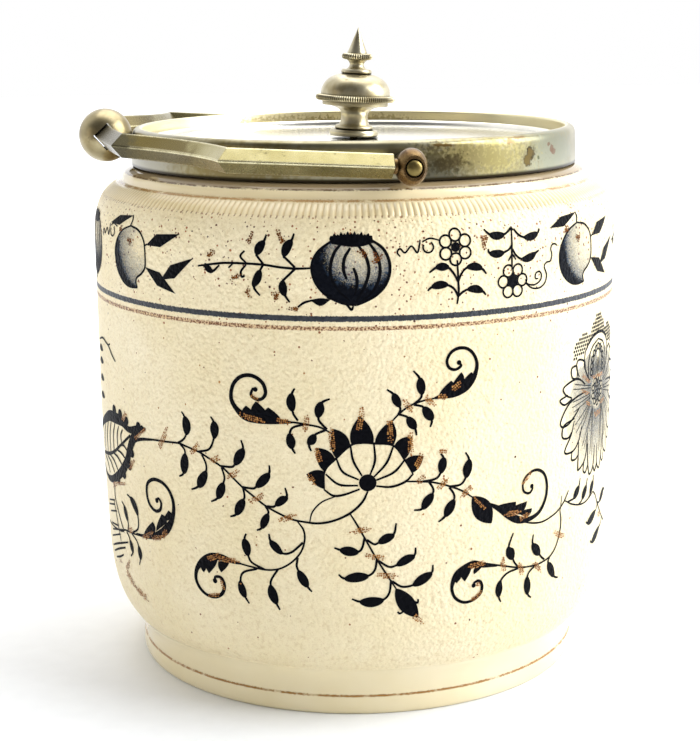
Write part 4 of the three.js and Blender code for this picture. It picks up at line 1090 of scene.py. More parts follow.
petals += [arc(s, z, 0.8, 0.5)
           for s, z in ((75.4, 85), (75.5, 86.8), (76.1, 88.5), (77.1, 90), (78.5, 91), (80, 91.4))]
petals += [stroke((s, 84), (s + 0.1, 87 + 0.5 * i), width=0.4)
           for i, s in enumerate((76.8, 77.9, 78.9, 79.8))]
petals += [arc(FLOWER_S + 3.4 * math.cos(a), FLOWER_Z + 3.4 * math.sin(a), 0.8, 0.5)
           for a in np.radians(np.arange(90, 280, 36))]
petals += [dot(FLOWER_S - r * math.sin(a), FLOWER_Z + r * math.cos(a), 0.4) for r, a in (
    (0, 0), (1.1, 0.5), (1.1, 1.6), (1.1, 2.7), (2, 0.1), (2, 0.9), (2, 1.7), (2, 2.4), (2, 3.1))]
stamen_row, stamen_column = np.divmod(np.arange(11 * 14), 14)
stamen_s = 65.2 + 1.1 * stamen_column + 0.55 * (stamen_row % 2)
stamen_z = 90.4 + 0.95 * stamen_row
stamen_top = np.interp(stamen_s, [64.5, 66, 69, 71.5, 74, 76, 79, 80],
                       [92, 94.3, 96, 96.6, 95.6, 98, 100.4, 100.7])
stamen_foot = np.interp(stamen_s, [64.5, 70, 71.5, 75, 80], [90, 90.9, 92.6, 94.4, 94.8])
inside = (stamen_z < stamen_top) & (stamen_z > stamen_foot)
petals += [lens(0.8, (s - 0.2, z - 0.38), (s, z), (s + 0.2, z + 0.38))
           for s, z in zip(stamen_s[inside], stamen_z[inside])]
open_flower = mirrored(petals, FLOWER_S)


def flower_tone(p):
    """Shading that is darkest round the flower's heart and fades towards the petals' tips."""
    reach = np.hypot(p[:, 0] - FLOWER_S, (p[:, 1] - FLOWER_Z) * 0.9)
    return np.interp(reach, [0, 2.5, 3.5, 5, 9, 14, 19], [0.8, 0.75, 0.3, 0.8, 0.68, 0.5, 0.22])


flower_rim = np.array([(FLOWER_S - 1, 92), (72.6, 90), (67, 87), (64, 81.5), (61.5, 76.5), (63, 71),
                       (65, 66), (69, 62.5), (72.5, 60), (76.5, 58.5), (FLOWER_S, 58.2)])
flower_heart = np.array([(FLOWER_S, FLOWER_Z)] * len(flower_rim)) + 0.01 * (flower_rim - [FLOWER_S, FLOWER_Z])
flower_shade = mirrored([shaded(flower_heart, flower_rim, 25, flower_tone)], FLOWER_S)
small_sprig = [stroke((-96, 91.6), (-90, 92.9), (-86.1, 92.4), (-83.3, 91.7), (-80.4, 89.8), (-78, 88.5)),
               stroke((-84, 91.9), (-82, 92.6))]
small_sprig += [lens(2, (-96.5, z), (-93.4, z + 0.4), (-90.4, z + 0.2)) for z in (89.2, 85.7, 80.9, 76)]

group = lotus + vines + leaves + curls + bud + bars + open_flower + small_sprig
printed("printed_flower_band", group + moved(group, half_round), ink)

# %% Engraved shading
shade = oval_shade() + ribbed_shade()
shades = shade + moved(ribbed_shade(), 133.5) + moved(shade, 227) + moved(ribbed_shade(), -95.1)
shades += moved(oval_shade(), -132.9) + flower_shade + moved(flower_shade, half_round)
printed("printed_shading", shades, wash, WASH_LIFT)

# %% Gold touches
FLECK_STEP, FLECK_RADIUS = 0.52, 0.27


def flecks(places, radius):
    """Small uneven six-sided spots round the places [s, z], each of its own size and tone."""
    turns = rng.uniform(0, 6, (len(places), 1)) + np.arange(6) * math.pi / 3
    reach = radius * rng.uniform(0.7, 1.2, (len(places), 1)) * rng.uniform(0.6, 1.15, turns.shape)
    points = places[:, None, :] + reach[..., None] * np.stack([np.cos(turns), np.sin(turns)], -1)
    tone = np.repeat(rng.uniform(0.62, 1.3, len(places)), 6)
    first = np.arange(len(places))[:, None] * 6
    faces = np.concatenate([first + [0, 1, 2, 3], first + [3, 4, 5, 0]])
    return np.column_stack([points.reshape(-1, 2), tone]), faces


def dab(width, start, *more):
    """A dry brush mark through points of [s, z]: flecks on an uneven grid inside a long oval on each span."""
    marks = []
    for first, last in zip((start,) + more[:-1], more):
        first, last = np.array(first, float), np.array(last, float)
        long = np.linalg.norm(last - first) + 0.6
        way = (last - first) / np.linalg.norm(last - first)
        steps = [np.arange(-size / 2, size / 2, FLECK_STEP) for size in (long, width)]
        grid = np.stack(np.meshgrid(*steps), -1).reshape(-1, 2) + FLECK_STEP / 2
        kept = (grid[:, 0] * 2 / long) ** 2 + (grid[:, 1] * 2 / width) ** 2 < rng.uniform(0.5, 1.3, len(grid))
        grid = grid[kept] + rng.uniform(-0.09, 0.09, (kept.sum(), 2))
        places = (first + last) / 2 + grid[:, :1] * way + grid[:, 1:] * np.array([-way[1], way[0]])
        marks.append(flecks(places, FLECK_RADIUS))
    return marks


def dabs(width, *ends):
    """Brush marks, each through the points of one entry."""
    return [mark for points in ends for mark in dab(width, *points)]


gold_group = dabs(1.7, *[((a, b), (c, d)) for a, b, c, d in (
    (-44.8, 69.6, -42.2, 72.7), (-38.7, 68.4, -35.8, 70), (-33.5, 64.8, -30.3, 67),
    (-27.4, 59.3, -23.4, 61.5), (-19.5, 55, -15.6, 56.8), (-56.5, 69.1, -52.9, 75.1),
    (-12.7, 78.4, -12, 82.4), (11.8, 86.1, 14, 83), (17.5, 86.6, 19.4, 84.3),
    (15.4, 64.8, 17.1, 67), (20.3, 62.6, 23.1, 65.3), (26.7, 60.2, 29.7, 62.5),
    (-1.6, 52.7, 3.3, 53.6), (2.5, 46.4, 6.6, 45.7), (5.2, 41.1, 10.2, 40.8),
    (39.5, 42, 40.2, 38.5), (45.3, 39.5, 46.7, 36), (50.6, 38.4, 53.7, 35.7),
    (58.5, 45, 62.7, 43.1), (-74.4, 42.6, -72.4, 43.4), (86, 43, 89, 42.4),
    (0.6, 79, 1.7, 84.8), (-9.9, 74.4, -8.8, 70.5), (-6.2, 79.8, -5.6, 73.6),
    (8.2, 81.3, 8.7, 75.6), (13.4, 77.6, 13.7, 72.4), (16.5, 72, 14.9, 69),
    (-11.8, 67.4, -10.2, 65), (14.6, 29.9, 17, 27.7), (-79.6, 30, -76, 33.2),
    (-68.5, 63.8, -71.5, 60.5), (-72, 75.8, -74.5, 73), (-29.4, 81.6, -23, 80.3),
    (-20, 80.8, -16.5, 80.6), (20.7, 86.6, 23, 86.2), (24.2, 88, 26.4, 89.4),
    (-66.3, 42.5, -61, 45.4), (-37.5, 43, -31.5, 43), (39.8, 53.7, 44.8, 53.6),
    (44.6, 51.5, 48, 52.5))])
gold_group += dabs(1.7, ((-41.5, 42), (-35.8, 44.3)), ((-61.5, 43.8), (-57, 44.9), (-55, 47.5)),
                   ((-81.5, 54), (-86, 52.3)), ((29.5, 41.3), (34.5, 41.9)), ((78, 73), (83, 73.2)))
gold_group += dabs(1.1, ((-74, 55.8), (-81.5, 54)), ((-61.5, 73.6), (-67.5, 69.6)),
                   ((30.3, 59.6), (33.8, 56)), ((48.5, 63.7), (45.5, 60.8)), ((-41, 32.3), (-37.2, 33)),
                   ((-36.2, 34.8), (-36.8, 37)), ((-26.5, 87), (-24.4, 85.6)), ((30.5, 31.9), (33.3, 34)),
                   ((33, 36), (31.8, 36.2)), ((69.5, 85.5), (74.5, 82.5)), ((69.5, 81.2), (74, 79.5)),
                   ((71.5, 77.8), (75, 76.5)), ((75.5, 83.6), (85, 83.2)), ((82.5, 75.5), (86.5, 75.8)),
                   ((21.2, 72.6), (22.8, 72.3)))
gold_group += dabs(2.6, ((-79.5, 29.4), (-74, 26.4), (-67, 24.8)))
gold_group += dabs(0.9, ((-86, 30.6), (-82.5, 31.4)))
brown_spots = [flecks(np.array([[s, z]]), 0.32)
               for s, z in (
                   (-46, 82.4), (-35.2, 89.4), (16.8, 56.6), (-12.6, 93), (-26, 48), (-41, 93), (38, 84),
                   (-2, 28), (-31, 37), (30, 46), (-56, 80), (12, 97), (-53, 98.6), (-20, 98))]
gold_marks = gold_group + brown_spots
printed("gold_touches", gold_marks + moved(gold_marks, half_round), gold, GOLD_LIFT)

# %% Brown scribbles of the border
scribbles = []
for s, z in ((-37, 121.5), (-26, 125.5), (-18, 126), (-26.5, 112.5), (-19.5, 112), (2, 122.6), (5.4, 121.4),
             (33, 124), (61, 124.6), (-15, 108.8), (66, 122), (-30, 116)):
    walk = np.cumsum(rng.normal(0, 1.0, (4, 2)), axis=0)
    scribbles += dabs(1.1, walk - walk.mean(0) + np.array([s, z]))
all_round = [mark for offset in (0, 133.5, 227, -132.9) for mark in moved(scribbles, offset)]
printed("brown_scribbles", all_round, sienna, GOLD_LIFT)

# %% [markdown]
# ## Metal: nickel alloy under thin, worn plating
# The mounts are a yellowish base metal with a thin plating that is rubbed through at the edges and tarnished
# in the hollows. A metal has no colour of its own under the surface, so its colour is its reflection: the
# base colour varies from pale to olive in soft clouds, tarnish darkens it in patches, and fine scratches
# break the highlights. Where little of the sky is seen, which the ambient occlusion node finds, the colour is
# darkened with painted shade and grime.

# %% Metal finish
TARNISH_MM, SCRATCH_MM, CREVICE_MM = 4, 0.5, 1.6


def plated(name, pale, olive, dark, rough, tarnish_share, cloud_mm=9.0, shade_and_grime=0.85):
    """A worn plated metal. pale and olive are its two clean tones, dark the tarnish, rough the roughness."""
    material, tree, shader = new_material(name)
    at = add(tree, "TexCoord").outputs["Object"]
    spread = add(tree, "MapRange", add(tree, "TexNoise", at, per(cloud_mm), 4.0), 0.35, 0.65)
    clean = add(tree, "Mix", spread, colour(pale), colour(olive), data_type="RGBA")
    fill(tree, shader, {"Base Color": clean, "Metallic": 1.0})
    patches = add(tree, "TexNoise", at, per(TARNISH_MM), 8.0, 0.7)
    worst = add(tree, "MapRange", patches, 0.74 - tarnish_share, 0.80 - tarnish_share * 0.6, 0, 0.85)
    laid_over(tree, worst, dark)
    # Painted shade and grime: the colour darkens, and the surface roughens, where the ambient occlusion node
    # finds little sky
    sky_seen = add(tree, "AmbientOcclusion", samples=6, sockets={"Distance": CREVICE_MM * MM}).outputs["AO"]
    shade_and_grime_share = add(tree, "MapRange", sky_seen, 0.8, 0.35, 0, shade_and_grime)
    laid_over(tree, shade_and_grime_share, "#1f1b14")
    fine = add(tree, "TexNoise", at, per(SCRATCH_MM), 5.0, 0.65)
    dull = add(tree, "MapRange", worst, 0, 1, rough, 0.6)
    both = add(tree, "Math", dull, add(tree, "MapRange", fine, 0, 1, -0.04, 0.04), operation="ADD")
    dirty = add(tree, "Math", shade_and_grime_share, 0.3, operation="MULTIPLY")
    fill(tree, shader, {"Roughness": add(tree, "Math", both, dirty, operation="ADD"),
                        "Normal": add(tree, "Bump", 0.06, 0.05 * MM, sockets={"Height": fine})})
    return material


worn_plate = plated("worn_plated_nickel", "#b9b29a", "#968f6e", "#3f3828", 0.28, 0.12)
bright_plate = plated("bright_plated_lid", "#f4f2ea", "#e6e3d6", "#8f8a76", 0.14, 0.07, cloud_mm=14.0)
satin_plate = plated("satin_plated_finial", "#c9c1a6", "#a89b78", "#463d2c", 0.32, 0.12, cloud_mm=5.0,
                     shade_and_grime=1.0)
ball_plate = plated("rubbed_plated_ball", "#a89c7a", "#877a58", "#3c3222", 0.31, 0.13, cloud_mm=6.0)
bronze = plated("bare_bronze_knuckle", "#89714a", "#5f482d", "#2c2018", 0.27, 0.16, cloud_mm=3.0)
brass = plated("turned_brass", "#938252", "#71633a", "#33291a", 0.32, 0.14, cloud_mm=3.0)

plaster, p, plaster_shader = new_material("matt_plaster_bedding")
plaster_grain = add(p, "TexNoise", add(p, "TexCoord").outputs["Object"], per(0.6), 4.0)
plaster_tone = add(p, "Mix", plaster_grain, colour("#cfc6b0"), colour("#e2dccb"), data_type="RGBA")
plaster_bump = add(p, "Bump", 0.4, 0.1 * MM, sockets={"Height": plaster_grain})
fill(p, plaster_shader, {"Base Color": plaster_tone, "Roughness": 0.95, "Normal": plaster_bump})

# %% [markdown]
# ## Collar and lid
# The collar was spun from one sheet: an outer wall, a rolled top edge and a fold inwards to the ledge that
# carries the lid. The lid is a flat plate with a raised bead. Both are turned shapes, drawn with finer arcs
# than the construction needs. The collar's colour differs from place to place: silver-grey at the left of the
# view, olive and darker where the bail's arm shades the wall, which is painted shade, a dark stain beside the
# pivot, and bare spots further right. Each is a blot, an ellipse on the wall whose edge wanders with noise.

# %% Collar outline
COLLAR_RADIUS, COLLAR_TAPER, COLLAR_WALL = 61.3, 0.3, 1.2
COLLAR_BOTTOM, COLLAR_TOP, COLLAR_TOP_ROUND, COLLAR_INSIDE_ROUND = 138.3, 148.3, 2.2, 0.6
COLLAR_INNER, COLLAR_FOLD, LEDGE_INNER, LEDGE_TOP, LEDGE_UNDER = 58.2, 2.8, 53.2, 143.1, 142.1
METAL_COLUMNS = 256
collar_crest = COLLAR_INNER + COLLAR_FOLD - COLLAR_TOP_ROUND
round_start = [COLLAR_RADIUS - COLLAR_TAPER, COLLAR_TOP - COLLAR_TOP_ROUND]
round_end = [collar_crest, COLLAR_TOP]
collar_lip = 0.35
collar_outline = outline([COLLAR_RADIUS - collar_lip, COLLAR_BOTTOM],
                         curve([COLLAR_RADIUS - collar_lip, COLLAR_BOTTOM],
                               [COLLAR_RADIUS, COLLAR_BOTTOM + collar_lip], OUTWARD, 3), round_start,
                         curve(round_start, round_end, UPWARD, 10),
                         curve(round_end, [COLLAR_INNER, COLLAR_TOP - COLLAR_INSIDE_ROUND], OUTWARD, 4),
                         [COLLAR_INNER, LEDGE_TOP], [LEDGE_INNER, LEDGE_TOP], [LEDGE_INNER, LEDGE_UNDER],
                         [COLLAR_RADIUS - COLLAR_WALL, LEDGE_UNDER],
                         [COLLAR_RADIUS - COLLAR_WALL, COLLAR_BOTTOM],
                         [COLLAR_RADIUS - collar_lip, COLLAR_BOTTOM])

# %% Blots
BLOT_DEPTH = 8


def blot(tree, way, z, wide, high, tint, most=1.0, soft=0.3, ragged=0.5, grain_mm=1.2, radius=COLLAR_RADIUS):
    """A blot of colour round the point that lies way mm round the wall at a height z, for plating colours and
    painted shade alike. The point's distance in half widths and half heights, moved by noise, tells how much
    of the blot's colour shows."""
    angle = way / COLLAR_RADIUS + VIEW_TURN
    at = add(tree, "TexCoord").outputs["Object"]
    centre = (radius * MM * math.sin(angle), -radius * MM * math.cos(angle), z * MM)
    half = (wide * MM, BLOT_DEPTH * MM, high * MM)
    local = add(tree, "Mapping", at, centre, (0, 0, angle), half, vector_type="TEXTURE")
    reach = add(tree, "VectorMath", local, operation="LENGTH")
    shift = add(tree, "MapRange", add(tree, "TexNoise", at, per(grain_mm), 5.0), 0.3, 0.7, -ragged, ragged)
    edge = add(tree, "Math", reach, shift, operation="ADD")
    laid_over(tree, add(tree, "MapRange", edge, 1 + soft, 1 - soft, 0, most), tint)

# %% Collar
stained_and_shaded_plate = plated("stained_and_shaded_plated_collar", "#a39d84", "#857e5f", "#3b3526", 0.3, 0.12)
stains_and_shade = stained_and_shaded_plate.node_tree
for stain in (
        # The second blot, 32 mm to the left, is painted shade where the bail's arm shades the wall
        (-66, 141, 18, 7, "#8c887a", 0.85, 0.5), (-32, 141, 17, 7, "#77693f", 0.8, 0.5),
        (62, 143, 13, 6, "#8b8d7a", 0.85, 0.4), (33, 143.8, 16, 4.2, "#a59a62", 0.75, 0.4),
        (21, 140.4, 8, 3.2, "#4b4b42", 0.8, 0.4), (24.5, 142.5, 4, 1.6, "#51462f", 0.7),
        (36, 143.2, 12, 3.6, "#6a6040", 0.4, 0.4, 1.2, 0.8), (20, 143.4, 5, 3, "#3f3826", 0.6, 0.4, 1.1, 0.9),
        (49.3, 142, 1.8, 1.9, "#2f2619", 0.9, 0.2), (51, 143.6, 1.8, 1.4, "#2f2619", 0.9, 0.2),
        (49.3, 142, 1.3, 1.4, "#62532f", 1.0, 0.2), (51, 143.6, 1.3, 0.9, "#62532f", 1.0, 0.2),
        (59.5, 145.2, 0.9, 0.5, "#745540", 0.8, 0.2), (61, 143.9, 1.1, 0.9, "#745540", 0.8, 0.2),
        (62.3, 143.2, 1.2, 0.8, "#745540", 0.8, 0.2), (54.3, 142, 0.5, 0.5, "#55583f", 1.0, 0.2),
        (21.5, 147, 1.2, 0.35, "#6b5836"), (24.2, 146.8, 1.6, 0.4, "#6b5836"),
        (42.8, 146.9, 1.7, 0.7, "#7a6748"), (46.5, 147.6, 2.6, 0.35, "#7a6748")):
    blot(stains_and_shade, *stain)
_, collar_spot, collar_way = axis_places(stains_and_shade)
low_line = between(stains_and_shade, collar_spot.outputs["Z"], COLLAR_BOTTOM - 1, COLLAR_BOTTOM + 0.8, 0.3)
laid_over(stains_and_shade, low_line, "#2b2416")
inner_wall = add(stains_and_shade, "MapRange", collar_way, (COLLAR_INNER + 1) * MM, (COLLAR_INNER + 0.3) * MM, 0, 0.85)
laid_over(stains_and_shade, inner_wall, "#efe5bc")
for way, wide in ((-7, 9), (24, 14), (9, 3)):
    blot(stains_and_shade, way + math.pi * COLLAR_RADIUS, 145.3, wide, 1.4, "#94834f", 0.6, 0.4, 0.9, 0.8, COLLAR_INNER)
solid("plated_collar", turned(collar_outline, METAL_COLUMNS), stained_and_shaded_plate, "barrel", "worn_plate",
      "collar_band")
refinish("cement_ring", plaster)

# %% Lid
LID_RADIUS, LID_UNDER, LID_TOP, LID_BEAD_HEIGHT, LID_BEAD_WIDTH = 57.8, 143.4, 144.4, 1.2, 2.6
STUD_HOLE, FLANGE_OUTER, FLANGE_INNER, FLANGE_LOW, FLANGE_HIGH = 1.3, 52.8, 51.8, 139.1, 143.1
bead_outer = [LID_RADIUS, LID_TOP]
bead_crest = [LID_RADIUS - LID_BEAD_HEIGHT, LID_TOP + LID_BEAD_HEIGHT]
bead_inner = [LID_RADIUS - LID_BEAD_WIDTH, LID_TOP]
lid_outline = outline(
    [STUD_HOLE, LID_UNDER], [LID_RADIUS, LID_UNDER], bead_outer, curve(bead_outer, bead_crest, UPWARD, 7),
    curve(bead_crest, bead_inner, [(0.6, 0)], 8), [LID_RADIUS * 0.5, LID_TOP], [STUD_HOLE, LID_TOP],
    [STUD_HOLE, LID_UNDER])
solid("plated_lid", turned(lid_outline, METAL_COLUMNS), bright_plate, "lid", "bright_plate", "lid_plate")
flange_outline = outline([FLANGE_INNER, FLANGE_LOW], [FLANGE_OUTER, FLANGE_LOW], [FLANGE_OUTER, FLANGE_HIGH],
                         [FLANGE_INNER, FLANGE_HIGH], [FLANGE_INNER, FLANGE_LOW])
solid("lid_ring", turned(flange_outline, METAL_COLUMNS), worn_plate, "lid", "worn_plate", "lid_flange")

# %% [markdown]
# ## Finial
# Five turned pieces are stacked on a stud: a waisted foot, a beaded ring, a dome, a small beaded ring and a
# spike. The real stack leans by about three degrees, so all of them are turned about the same point. The
# beads are cut as a cosine round the rim of each ring.

# %% Finial sizes
LEAN_ANGLE = math.radians(3)
LEAN = turn("y", LEAN_ANGLE)
SEAT_GAP = 0.3
FOOT_RADIUS, FOOT_THICKNESS, STEP_RADIUS, STEP_THICKNESS = 6.4, 1.7, 4.95, 1.3
STEM_RADIUS, STEM_HEIGHT, FLARE_RADIUS, FLARE_THICKNESS, SWELL = 3.7, 5.4, 9.1, 1.0, 0.35
RING_RADIUS, RING_THICKNESS, RING_SPREAD, RING_BEADS = 11.0, 1.3, 0.25, 104
DOME_RADIUS, DOME_HEIGHT, DOME_COLLAR_RADIUS, DOME_COLLAR = 9.6, 5.6, 3.9, 1.3
WAIST_RADIUS, WAIST_HEIGHT, DOME_TOP_RADIUS = 1.95, 2.5, 2.8
SMALL_RING_RADIUS, SMALL_RING_BEADS = 4.2, 38
SPIKE_RADIUS, SPIKE_HEIGHT, BEAD_DEPTH = 2.75, 7.0, 0.42
FINIAL_COLUMNS = 96


def beaded(count, root):
    """A wave for turned pieces: outside the root radius the rim dips between beads by half a cosine."""
    def wave(radius, height, angle):
        dip = BEAD_DEPTH * (1 - np.abs(np.cos(count * angle / 2)))
        return np.where(radius > root + 0.01, radius - dip, radius + 0 * angle)
    return wave

# %% Finial outlines
disc_top = FOOT_THICKNESS
step_top = disc_top + STEP_THICKNESS
stem_top = step_top + STEM_HEIGHT
flare_top = stem_top + FLARE_THICKNESS
stem_low = [(STEM_RADIUS + STEP_RADIUS) / 2, step_top]
stem_waist = [STEM_RADIUS, step_top + STEM_HEIGHT / 2]
foot_outline = outline([STUD_HOLE, 0], [FOOT_RADIUS, 0],
                       moulding([FOOT_RADIUS, 0], [FOOT_RADIUS, disc_top], FOOT_RADIUS + SWELL, 10),
                       [STEP_RADIUS, disc_top],
                       moulding([STEP_RADIUS, disc_top], [STEP_RADIUS, step_top], STEP_RADIUS + SWELL, 8),
                       stem_low, curve(stem_low, stem_waist, [(1, 0.3)], 8),
                       curve(stem_waist, [FLARE_RADIUS, stem_top], [(0, 0.9)], 14),
                       [FLARE_RADIUS, flare_top], [STUD_HOLE, flare_top], [STUD_HOLE, 0])
collar_high = DOME_HEIGHT + DOME_COLLAR
dome_top = collar_high + WAIST_HEIGHT
dome_outline = outline([STUD_HOLE, 0], [DOME_RADIUS, 0],
                       curve([DOME_RADIUS, 0], [DOME_COLLAR_RADIUS, DOME_HEIGHT],
                             [(0, 0.55), (0.45, 0.95)], 20),
                       moulding([DOME_COLLAR_RADIUS, DOME_HEIGHT], [DOME_COLLAR_RADIUS, collar_high],
                                DOME_COLLAR_RADIUS + SWELL, 8), [DOME_TOP_RADIUS, collar_high],
                       moulding([DOME_TOP_RADIUS, collar_high], [DOME_TOP_RADIUS, dome_top], WAIST_RADIUS,
                                12), [STUD_HOLE, dome_top], [STUD_HOLE, 0])
BORE_TOP = 2.1
spike_outline = outline(
    [STUD_HOLE, 0], [SPIKE_RADIUS, 0], curve([SPIKE_RADIUS, 0], [0, SPIKE_HEIGHT], [(0.42, 0.4)], 14),
    [0, BORE_TOP], [STUD_HOLE, BORE_TOP], [STUD_HOLE, 0])


def ring_outline(radius, root):
    """A ring with a rounded rim, from its bore out to the radius and back."""
    low, high = [root, -RING_SPREAD], [root, RING_THICKNESS + RING_SPREAD]
    return outline([STUD_HOLE, low[1]], low, curve(low, [radius, RING_THICKNESS / 2], OUTWARD, 5),
                   curve([radius, RING_THICKNESS / 2], high, UPWARD, 5), [STUD_HOLE, high[1]],
                   [STUD_HOLE, low[1]])

# %% Finial pieces
level = SEAT_GAP + FOOT_RADIUS * math.sin(LEAN_ANGLE)
for name, profile, columns, wave, tall, node in (
        ("finial_waisted_foot", foot_outline, FINIAL_COLUMNS, None, flare_top, "finial_foot"),
        ("finial_beaded_ring", ring_outline(RING_RADIUS, DOME_RADIUS), RING_BEADS * 6,
         beaded(RING_BEADS, DOME_RADIUS), RING_THICKNESS, "finial_bead_ring"),
        ("finial_domed_body", dome_outline, FINIAL_COLUMNS, None, dome_top, "finial_dome"),
        ("finial_small_beads", ring_outline(SMALL_RING_RADIUS, SPIKE_RADIUS), SMALL_RING_BEADS * 6,
         beaded(SMALL_RING_BEADS, SPIKE_RADIUS), RING_THICKNESS, "finial_small_ring"),
        ("finial_pointed_spike", spike_outline, FINIAL_COLUMNS, None, SPIKE_HEIGHT, "finial_spike")):
    shape = turned(profile + np.array([0, level]), columns, LEAN, (0, 0, LID_TOP), wave)
    solid(name, shape, satin_plate, "lid", "worn_plate", node)
    level += tall + SEAT_GAP
print("finial top at %.1f mm" % (LID_TOP + level))
for node in ("finial_nut", "finial_stud", "finial_washer"):
    refinish(node, brass)

# %% [markdown]
# ## Bail
# The bail is a square bar set on edge, so a bright ridge runs along its middle. It leaves the pivots
# straight, turns at a mitre into a hollow-curved shoulder, and at a second mitre into the crossbar with the
# ball. Each run is a cross-section carried along a line in the bail's own plane, and the ends are cut along
# the mitre.

# %% Bail sizes
PIVOT_HEIGHT, REST_TILT = 142.6, math.radians(3.5)
BAR_SIDE, BAR_OFFSET, KINK_REACH, CORNER_REACH, CORNER_OFFSET = 4.5, 69.0, 44.5, 66.4, 35.4
SHOULDER_HOLLOW, CROSSBAR_BOW, GRIP_RADIUS = 4.0, 2.0, 7.1
EDGE_ROUND, EDGE_STEPS, EDGE_FADE = 0.32, 4, 0.35
BAIL_TURN = turn("y", REST_TILT)
HALVES = {"front": np.eye(3), "rear": turn("x", math.pi)}


def bail_place(points, side="front"):
    """Takes points of [reach, offset, height above the bail's plane] to the frame: reach runs out from
    the pivots towards the grip, offset from the middle to the front end of the pivots."""
    local = points * np.array([-1, -1, 1])
    return local @ HALVES[side].T @ BAIL_TURN.T + np.array([0, 0, PIVOT_HEIGHT])


def bar_section():
    """Points of [width, height] round a square on edge whose four corners are rounded by small arcs, and for
    each how much of an edge it is: 1 on an arc, and 0 at the points EDGE_FADE along the faces beside it."""
    half = BAR_SIDE / math.sqrt(2)
    start = np.arange(4) * math.pi / 2
    sweep = np.linspace(-math.pi / 4, math.pi / 4, EDGE_STEPS)
    angle = start[:, None] + sweep[None, :]
    centre = np.stack([np.cos(start), np.sin(start)], -1)[:, None, :] * (half - EDGE_ROUND * 1.4142)
    arcs = centre + EDGE_ROUND * np.stack([np.cos(angle), np.sin(angle)], -1)
    way = angle[:, [0, -1]] + np.array([-1, 1]) * math.pi / 2
    beside = arcs[:, [0, -1]] + EDGE_FADE * np.stack([np.cos(way), np.sin(way)], -1)
    points = np.concatenate([beside[:, :1], arcs, beside[:, 1:]], 1).reshape(-1, 2)
    return points, np.tile([0.0] + [1.0] * EDGE_STEPS + [0.0], 4)

# %% [markdown]
# A mitred end is found without cutting: the section's width is measured along the mitre instead of square
# to the bar. A small chamfer at each end catches the light, as the filed edges on the real one do.

# %% Bar along a line
CHAMFER = 0.16


def bar(line, start_cut=None, end_cut=None):
    """Points and faces of the bar: at each point of the line, the section's width goes along the cut
    direction and its height goes up. Both ends are drawn in by the chamfer and closed with a cap."""
    line = np.asarray(line, float)
    along = np.gradient(line, axis=0)
    along /= np.linalg.norm(along, axis=1)[:, None]
    square = np.stack([along[:, 1], -along[:, 0]], -1)
    across = square.copy()
    for row, cut in ((0, start_cut), (-1, end_cut)):
        if cut is not None:
            across[row] = cut / np.dot(cut, square[row])
    section, edge = bar_section()
    rows = [(line[0], across[0], 1 - CHAMFER / 3), (line[0] + along[0] * CHAMFER, across[0], 1)]
    rows += [(line[i], across[i], 1) for i in range(1, len(line) - 1)]
    rows += [(line[-1] - along[-1] * CHAMFER, across[-1], 1), (line[-1], across[-1], 1 - CHAMFER / 3)]
    centre, width, scale = [np.array(column) for column in zip(*rows)]
    scale = scale[:, None, None]
    plane = centre[:, None, :] + width[:, None, :] * section[None, :, :1] * scale
    height = np.broadcast_to(section[None, :, 1:] * scale, plane.shape[:2] + (1,))
    points = np.concatenate([plane, height], -1)
    count = len(section)
    caps = np.stack([np.arange(count), np.arange(count) + (len(rows) - 1) * count])
    return points.reshape(-1, 3), grid_faces(len(rows), count, wrap=True), caps, np.tile(edge, len(rows))


def cut_between(before, after):
    """The mitre's direction: it halves the angle between two bars' directions."""
    direction = before / np.linalg.norm(before) - after / np.linalg.norm(after)
    return direction / np.linalg.norm(direction)

# %% Bar finish
bar_plate = plated("rubbed_plated_bar_painted_light", "#b2a97e", "#978d5e", "#3a3422", 0.27, 0.14)
b = bar_plate.node_tree
at = add(b, "TexCoord").outputs["Object"]
bar_noise = add(b, "TexNoise", at, per(2.2), 5.0)
wander = add(b, "MapRange", bar_noise, 0, 1, -2.5 * MM, 2.5 * MM)
bar_x = add(b, "Math", add(b, "SeparateXYZ", at).outputs["X"], wander, operation="ADD")
edge_highlight_share = add(b, "Attribute", attribute_name="edge").outputs["Fac"]
underside_shade_share = add(b, "Attribute", attribute_name="under").outputs["Fac"]
for share, tint in (
        # painted dark reflection on the shoulders beyond the kink
        (add(b, "MapRange", bar_x, -(KINK_REACH + 5.5) * MM, -(KINK_REACH + 8) * MM, 0, 0.9), "#6e6034"),
        # painted highlight along the rounded corners, which is also where the plating is rubbed bright
        (add(b, "Math", edge_highlight_share, bar_noise, operation="MULTIPLY"), "#eee6c0"),
        # painted dark reflection on the crossbar next to the ball
        (add(b, "MapRange", bar_x, -(CORNER_REACH - 4) * MM, -(CORNER_REACH - 1) * MM, 0, 0.9), "#57523d"),
        # painted shade on the lower facets
        (add(b, "Math", underside_shade_share, 0.5, operation="MULTIPLY"), "#4c4530")):
    laid_over(b, share, tint)

